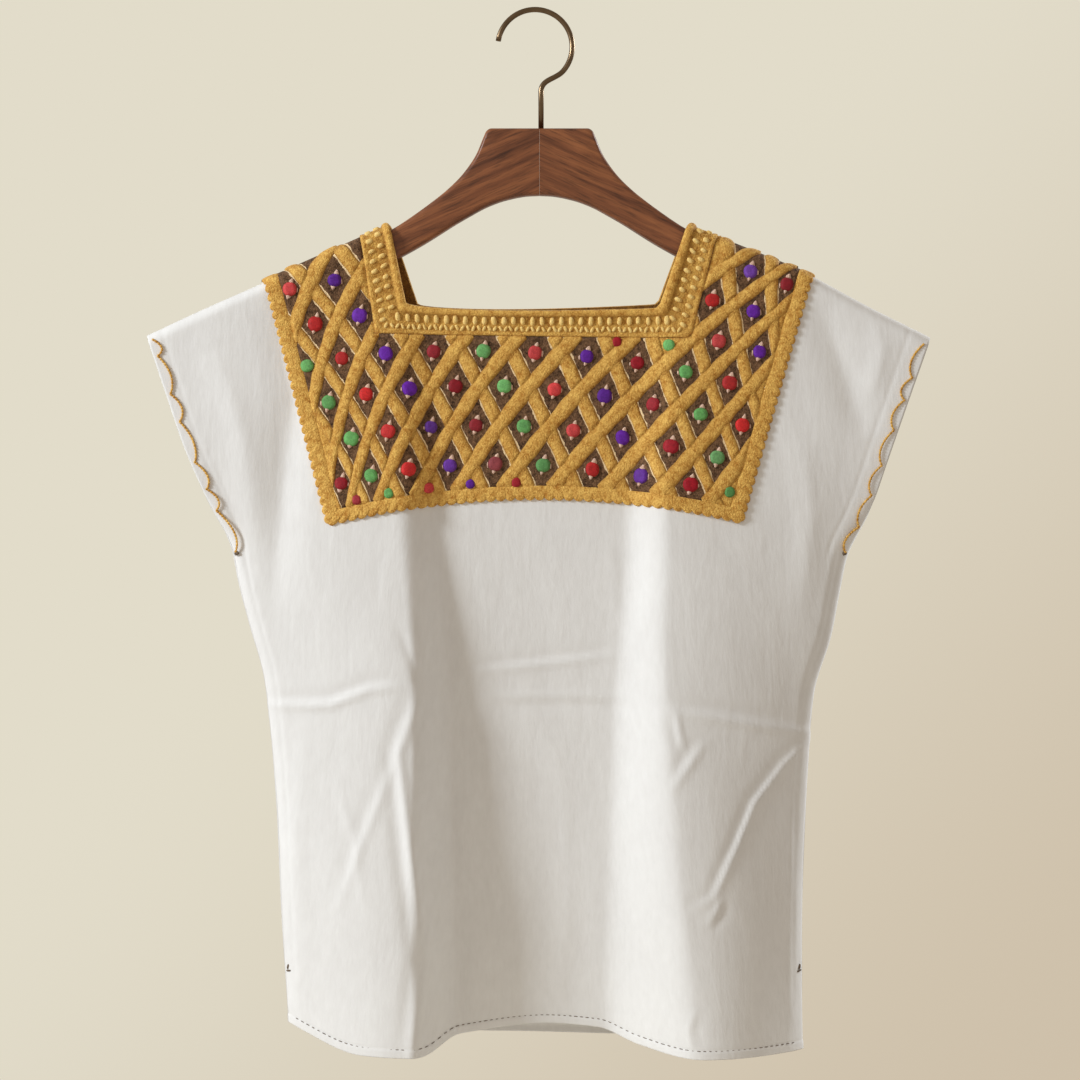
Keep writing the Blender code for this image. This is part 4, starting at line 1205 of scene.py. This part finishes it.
# Two bars at a slit's top and the knot under the arm: Z, distance from the edge, turn, half
# length, half width, rise.
BARS = np.array([
    (-743.0, 3.2, 1.4, 2.2, 0.7, 0.8),
    (-746.0, 3.4, 0.2, 2.0, 0.7, 0.8),
    (-421.8, 4.2, 0.4, 1.9, 1.5, 1.3),
])


def hem_stitches(name, face, seed):
    """A row of stitches above the hem's edge, one each pitch, with the odd one longer."""
    rng = np.random.default_rng(seed)
    pitch, half_length, half_width = HEM_STITCH
    s = np.arange(0.02, 0.985, pitch / 400)
    q = face.length(s) + LIFT - HEM_FOLD
    at = face.point(s, q)
    flat = np.stack([at[:, 0], ridge_z(s) + LIFT - q], 1)
    slope = np.gradient(flat[:, 1], flat[:, 0])
    n = len(s)
    sizes = np.stack([half_length * rng.uniform(0.8, 1.25, n), np.full(n, half_width)], 1)
    parts = [lay(face, pad(4), flat, np.arctan(slope), sizes, -0.1, np.full(n, 0.45))]
    for side in ("left", "right"):
        way = 1 if side == "left" else -1
        centres = np.stack([edge_at(BARS[:, 0], side) + way * BARS[:, 1], BARS[:, 0]], 1)
        parts.append(lay(face, pad(5), centres, BARS[:, 2], BARS[:, 3:5], 0.1, BARS[:, 5]))
    return piece(name, *joined(parts), HEM_THREAD, "white_cotton")


front_hem = hem_stitches("front_hem_stitches", FRONT, 11)
back_hem = hem_stitches("back_hem_stitches", BACK, 12)


# Hanger. Two mirrored halves of walnut with rounded edges under satin varnish, glued in the
# middle; the grain rises towards the seam from both sides.
# Upper edge X and Z, lower edge X and Z, half the thickness, from the middle to the end.
HANGER_ARM = np.array([
    (0.0, -91.0, 0.0, -143.0, 7.0),
    (20.0, -91.0, 9.0, -143.4, 7.0),
    (37.0, -91.0, 16.5, -144.5, 7.0),
    (41.0, -92.8, 19.5, -145.1, 7.0),
    (43.6, -98.0, 22.5, -145.8, 7.0),
    (49.0, -111.0, 29.0, -147.5, 7.0),
    (60.0, -127.0, 42.0, -152.6, 7.0),
    (72.0, -139.0, 53.0, -158.6, 7.0),
    (84.5, -149.0, 64.0, -164.9, 7.0),
    (115.0, -169.8, 92.0, -182.4, 7.0),
    (137.5, -180.4, 118.0, -196.2, 7.0),
    (160.0, -190.0, 145.0, -207.0, 7.0),
    (181.0, -199.2, 172.0, -217.6, 7.0),
    (197.0, -206.2, 188.0, -224.2, 7.0),
    (203.0, -209.0, 196.0, -227.0, 6.8),
    (206.4, -212.0, 202.5, -227.6, 6.2),
    (207.8, -215.5, 206.6, -224.4, 5.2),
    (208.2, -218.5, 208.0, -220.5, 3.6),
])
ARM_STEPS = 5
WOOD_EDGE = 4.0
WOOD_SEAM = 0.03        # half the glued seam


def walnut(name, lean):
    """Long streaks along a leaning grain, finer pores over them, and a thin satin coat."""
    tree, shader, made = finish(name, Roughness=0.38, Coat_Weight=0.25, Coat_Roughness=0.25,
                                Specular_IOR_Level=0.4)
    place = node(tree, "ShaderNodeTexCoord").outputs["Object"]
    turned = node(tree, "ShaderNodeMapping", {"Vector": place, "Rotation": (0, lean, 0)})
    long_way = node(tree, "ShaderNodeMapping", {"Vector": turned.outputs[0],
                    "Scale": (0.07, 1, 1)}).outputs[0]
    streaks = noise(tree, long_way, 130.0, Detail=5.0, Roughness=0.6, Distortion=0.6)
    pores = noise(tree, long_way, 900.0, Detail=2.0)
    ramp = node(tree, "ShaderNodeValToRGB", {"Fac": streaks})
    bands = ramp.color_ramp.elements
    bands[0].position, bands[0].color = 0.28, shade(82, 43, 23)
    bands[1].position, bands[1].color = 0.75, shade(164, 102, 60)
    middle = bands.new(0.5)
    middle.color = shade(127, 74, 43)
    fine = remap(tree, pores, 0.3, 0.5, 0.55, 1.0)
    plug(tree, shader, Base_Color=mix(tree, 1.0, ramp.outputs[0], fine, "MULTIPLY"),
         Roughness=remap(tree, streaks, to_low=0.3, to_high=0.48),
         Normal=bumps(tree, (fine, 0.15, 0.0003)))
    return made


def capped_tube(rings, count):
    """Faces of a tube with a flat face at each end."""
    ends = [list(range(count)), list(range((rings - 1) * count, rings * count))]
    return tube(rings, count).tolist() + ends


def hanger_half(name, way, node_name, material):
    """Rounded rectangles between matched places of the upper and lower edges, from a flat end at
    the seam to a small rounded tip."""
    rows = len(HANGER_ARM)
    table = np.column_stack([np.arange(rows), HANGER_ARM])
    place = np.linspace(0, rows - 1, (rows - 1) * ARM_STEPS + 1)
    top_x, top_z, low_x, low_z, thick = (smooth(place, table, k) for k in range(1, 6))
    middle = np.stack([top_x + low_x, top_z + low_z], 1) / 2
    reach = np.stack([top_x - low_x, top_z - low_z], 1) / 2
    tall = np.hypot(*reach.T)
    reach /= tall[:, None]
    edge = np.minimum(WOOD_EDGE, np.minimum(tall, thick) * 0.95)[:, None]
    turn = (np.arange(4)[:, None] * math.pi / 2 + np.linspace(0, math.pi / 2, 6)).ravel()
    corner = np.repeat([(1, 1), (-1, 1), (-1, -1), (1, -1)], 6, 0)
    up = corner[:, 0] * (tall[:, None] - edge) + edge * np.cos(turn)
    out = corner[:, 1] * (thick[:, None] - edge) + edge * np.sin(turn)
    flat = middle[:, None] + up[..., None] * reach[:, None]
    points = np.stack([CENTRE_X + way * (flat[..., 0] + WOOD_SEAM), out, flat[..., 1]], -1)
    made = piece(name, points.reshape(-1, 3), capped_tube(*points.shape[:2]), material, "walnut")
    outward(made)
    made.data.set_sharp_from_angle(angle=math.radians(50))
    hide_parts(node_name)


hanger_half("hanger_arm_left", -1, "hanger_left", walnut("walnut_left", math.radians(24)))
hanger_half("hanger_arm_right", 1, "hanger_right", walnut("walnut_right", math.radians(-24)))


# Hook. One bent wire with a dark bronze-coloured plating, its foot set into the hanger's middle.
WIRE_RADIUS = 2.1
HOOK_RADIUS = 29.0
HOOK_TURN = (math.radians(171), math.radians(-40))
SHAFT_X = 4.7
SHAFT_Z = (-62.0, -90.8)
BEND_PULL = (9.0, 10.0)
TIP_RINGS = 6
WIRE_SIDES = 20


def bronze():
    """Plated wire: brown metal, worn a little brighter in patches, with fine drawing lines."""
    tree, shader, made = finish("bronze_plated_wire", Metallic=1.0)
    place = node(tree, "ShaderNodeTexCoord").outputs["Object"]
    patches = noise(tree, place, 70.0, Detail=4.0)
    plug(tree, shader, Base_Color=mix(tree, patches, shade(74, 60, 44), shade(150, 126, 98)),
         Roughness=remap(tree, patches, to_low=0.22, to_high=0.42),
         Normal=bumps(tree, (noise(tree, place, 1500.0), 0.08, 0.0001)))
    return made


def hook():
    """Round section along an arc, a reverse bend and a straight shank; the tip is a half ball."""
    turn = np.linspace(*HOOK_TURN, 60)
    middle = WIRE_RADIUS - HOOK_RADIUS
    arc = np.stack([HOOK_RADIUS * np.cos(turn), middle + HOOK_RADIUS * np.sin(turn)], 1)
    heading = np.array([math.sin(HOOK_TURN[1]), -math.cos(HOOK_TURN[1])])
    u = np.linspace(0, 1, 25)[1:, None]
    top = np.array([SHAFT_X, SHAFT_Z[0]])
    bend = ((1 - u) ** 3 * arc[-1] + 3 * u * (1 - u) ** 2 * (arc[-1] + BEND_PULL[0] * heading)
            + 3 * u * u * (1 - u) * (top + (0, BEND_PULL[1])) + u ** 3 * top)
    path = np.vstack([arc, bend, [(SHAFT_X, SHAFT_Z[1])]])
    along = np.gradient(path, axis=0)
    along /= np.hypot(*along.T)[:, None]
    ball = np.linspace(0.05, math.pi / 2, TIP_RINGS)
    tip = path[0] + WIRE_RADIUS * (1 - np.cos(math.pi / 2 - ball))[:, None] * along[0]
    path = np.vstack([tip, path[2:]])
    along = np.vstack([np.repeat(along[:1], TIP_RINGS, 0), along[2:]])
    size = np.concatenate([WIRE_RADIUS * np.sin(ball),
                           np.full(len(path) - TIP_RINGS, WIRE_RADIUS)])
    angle = np.arange(WIRE_SIDES) * 2 * math.pi / WIRE_SIDES
    across = np.stack([along[:, 1], np.zeros(len(path)), -along[:, 0]], 1)
    ring = across[:, None] * np.cos(angle)[None, :, None] + np.array([0, 1, 0]) * np.sin(
        angle)[None, :, None]
    centre = np.stack([path[:, 0], np.zeros(len(path)), path[:, 1]], 1)
    points = (centre[:, None] + size[:, None, None] * ring).reshape(-1, 3)
    made = piece("hook_wire", points, capped_tube(len(path), WIRE_SIDES), bronze(),
                 "bronze_wire")
    outward(made)
    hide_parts("hanger_hook")


hook()


# Floor, light and camera. A round pale floor well below the hem, a warm pale room, soft light
# from the upper left, and the camera straight in front at the middle of the garment. In metres.
FLOOR_RADIUS = 0.45
FLOOR_Z = -1.0
FLOOR_SIDES = 64
AIM = np.array([0.0, 0.0, -0.45])


def floor():
    """Flat round plate in pale matt plaster."""
    tree, shader, made = finish("pale_floor", Roughness=0.9)
    grain = noise(tree, node(tree, "ShaderNodeTexCoord").outputs["Object"], 60.0)
    plug(tree, shader, Base_Color=mix(tree, grain, shade(214, 206, 190), shade(222, 214, 198)))
    angle = np.arange(FLOOR_SIDES) * 2 * math.pi / FLOOR_SIDES
    mesh = bpy.data.meshes.new("floor")
    mesh.from_pydata(np.stack([FLOOR_RADIUS * np.cos(angle), FLOOR_RADIUS * np.sin(angle),
                               np.full(FLOOR_SIDES, FLOOR_Z)], 1), [],
                     [list(range(FLOOR_SIDES))])
    mesh.materials.append(made)
    placed("floor", mesh)


def light(name, place, size, power, colour):
    """Square soft light aimed at the middle of the garment."""
    lamp = bpy.data.lights.new(name, "AREA")
    lamp.size = size
    lamp.energy = power
    lamp.color = colour
    aim = AIM - place
    obj = placed(name, lamp)
    obj.location = place
    obj.rotation_euler = (math.atan2(np.hypot(aim[0], aim[1]), -aim[2]), 0,
                          math.atan2(-aim[0], aim[1]))


floor()
light("key_light", (-2.6, -1.3, 0.75), 0.7, 80.0, (0.88, 0.945, 1.0))
light("fill_light", (1.8, -2.2, -0.2), 1.8, 2.5, (1.0, 0.97, 0.94))
light("back_light", (2.4, 1.5, 0.7), 0.8, 66.0, (0.9, 0.955, 1.0))
world = bpy.data.worlds.new("pale_room")
bpy.context.scene.world = world
world.use_nodes = True
tree = world.node_tree
# The wall that the camera sees carries painted shade that dims it to the lower right. The room
# that lights the garment is a separate, dimmer colour, dimmest on the right.
looking = node(tree, "ShaderNodeTexCoord").outputs["Generated"]
parts = node(tree, "ShaderNodeSeparateXYZ", {0: looking}).outputs
painted_wall_shade = remap(tree, calc(tree, "SUBTRACT", parts["X"], parts["Z"]), -0.1, 0.42,
               interpolation_type="SMOOTHSTEP")
wall = mix(tree, painted_wall_shade, shade(226, 220, 202), shade(206, 192, 170))
lit = mix(tree, remap(tree, parts["X"], low=-1.0), (0.56, 0.505, 0.44, 1),
          (0.36, 0.31, 0.255, 1))
seen = node(tree, "ShaderNodeLightPath").outputs["Is Camera Ray"]
plug(tree, tree.nodes["Background"], Color=mix(tree, seen, lit, wall))
bpy.context.scene.view_settings.view_transform = "Standard"
camera = bpy.data.cameras.new("camera")
camera.lens = 85.5
camera.sensor_width = 36.0
viewer = placed("camera", camera)
viewer.location = (0.0039, -2.0, -0.4115)
viewer.rotation_euler = (math.pi / 2, 0, 0)
bpy.context.scene.camera = viewer
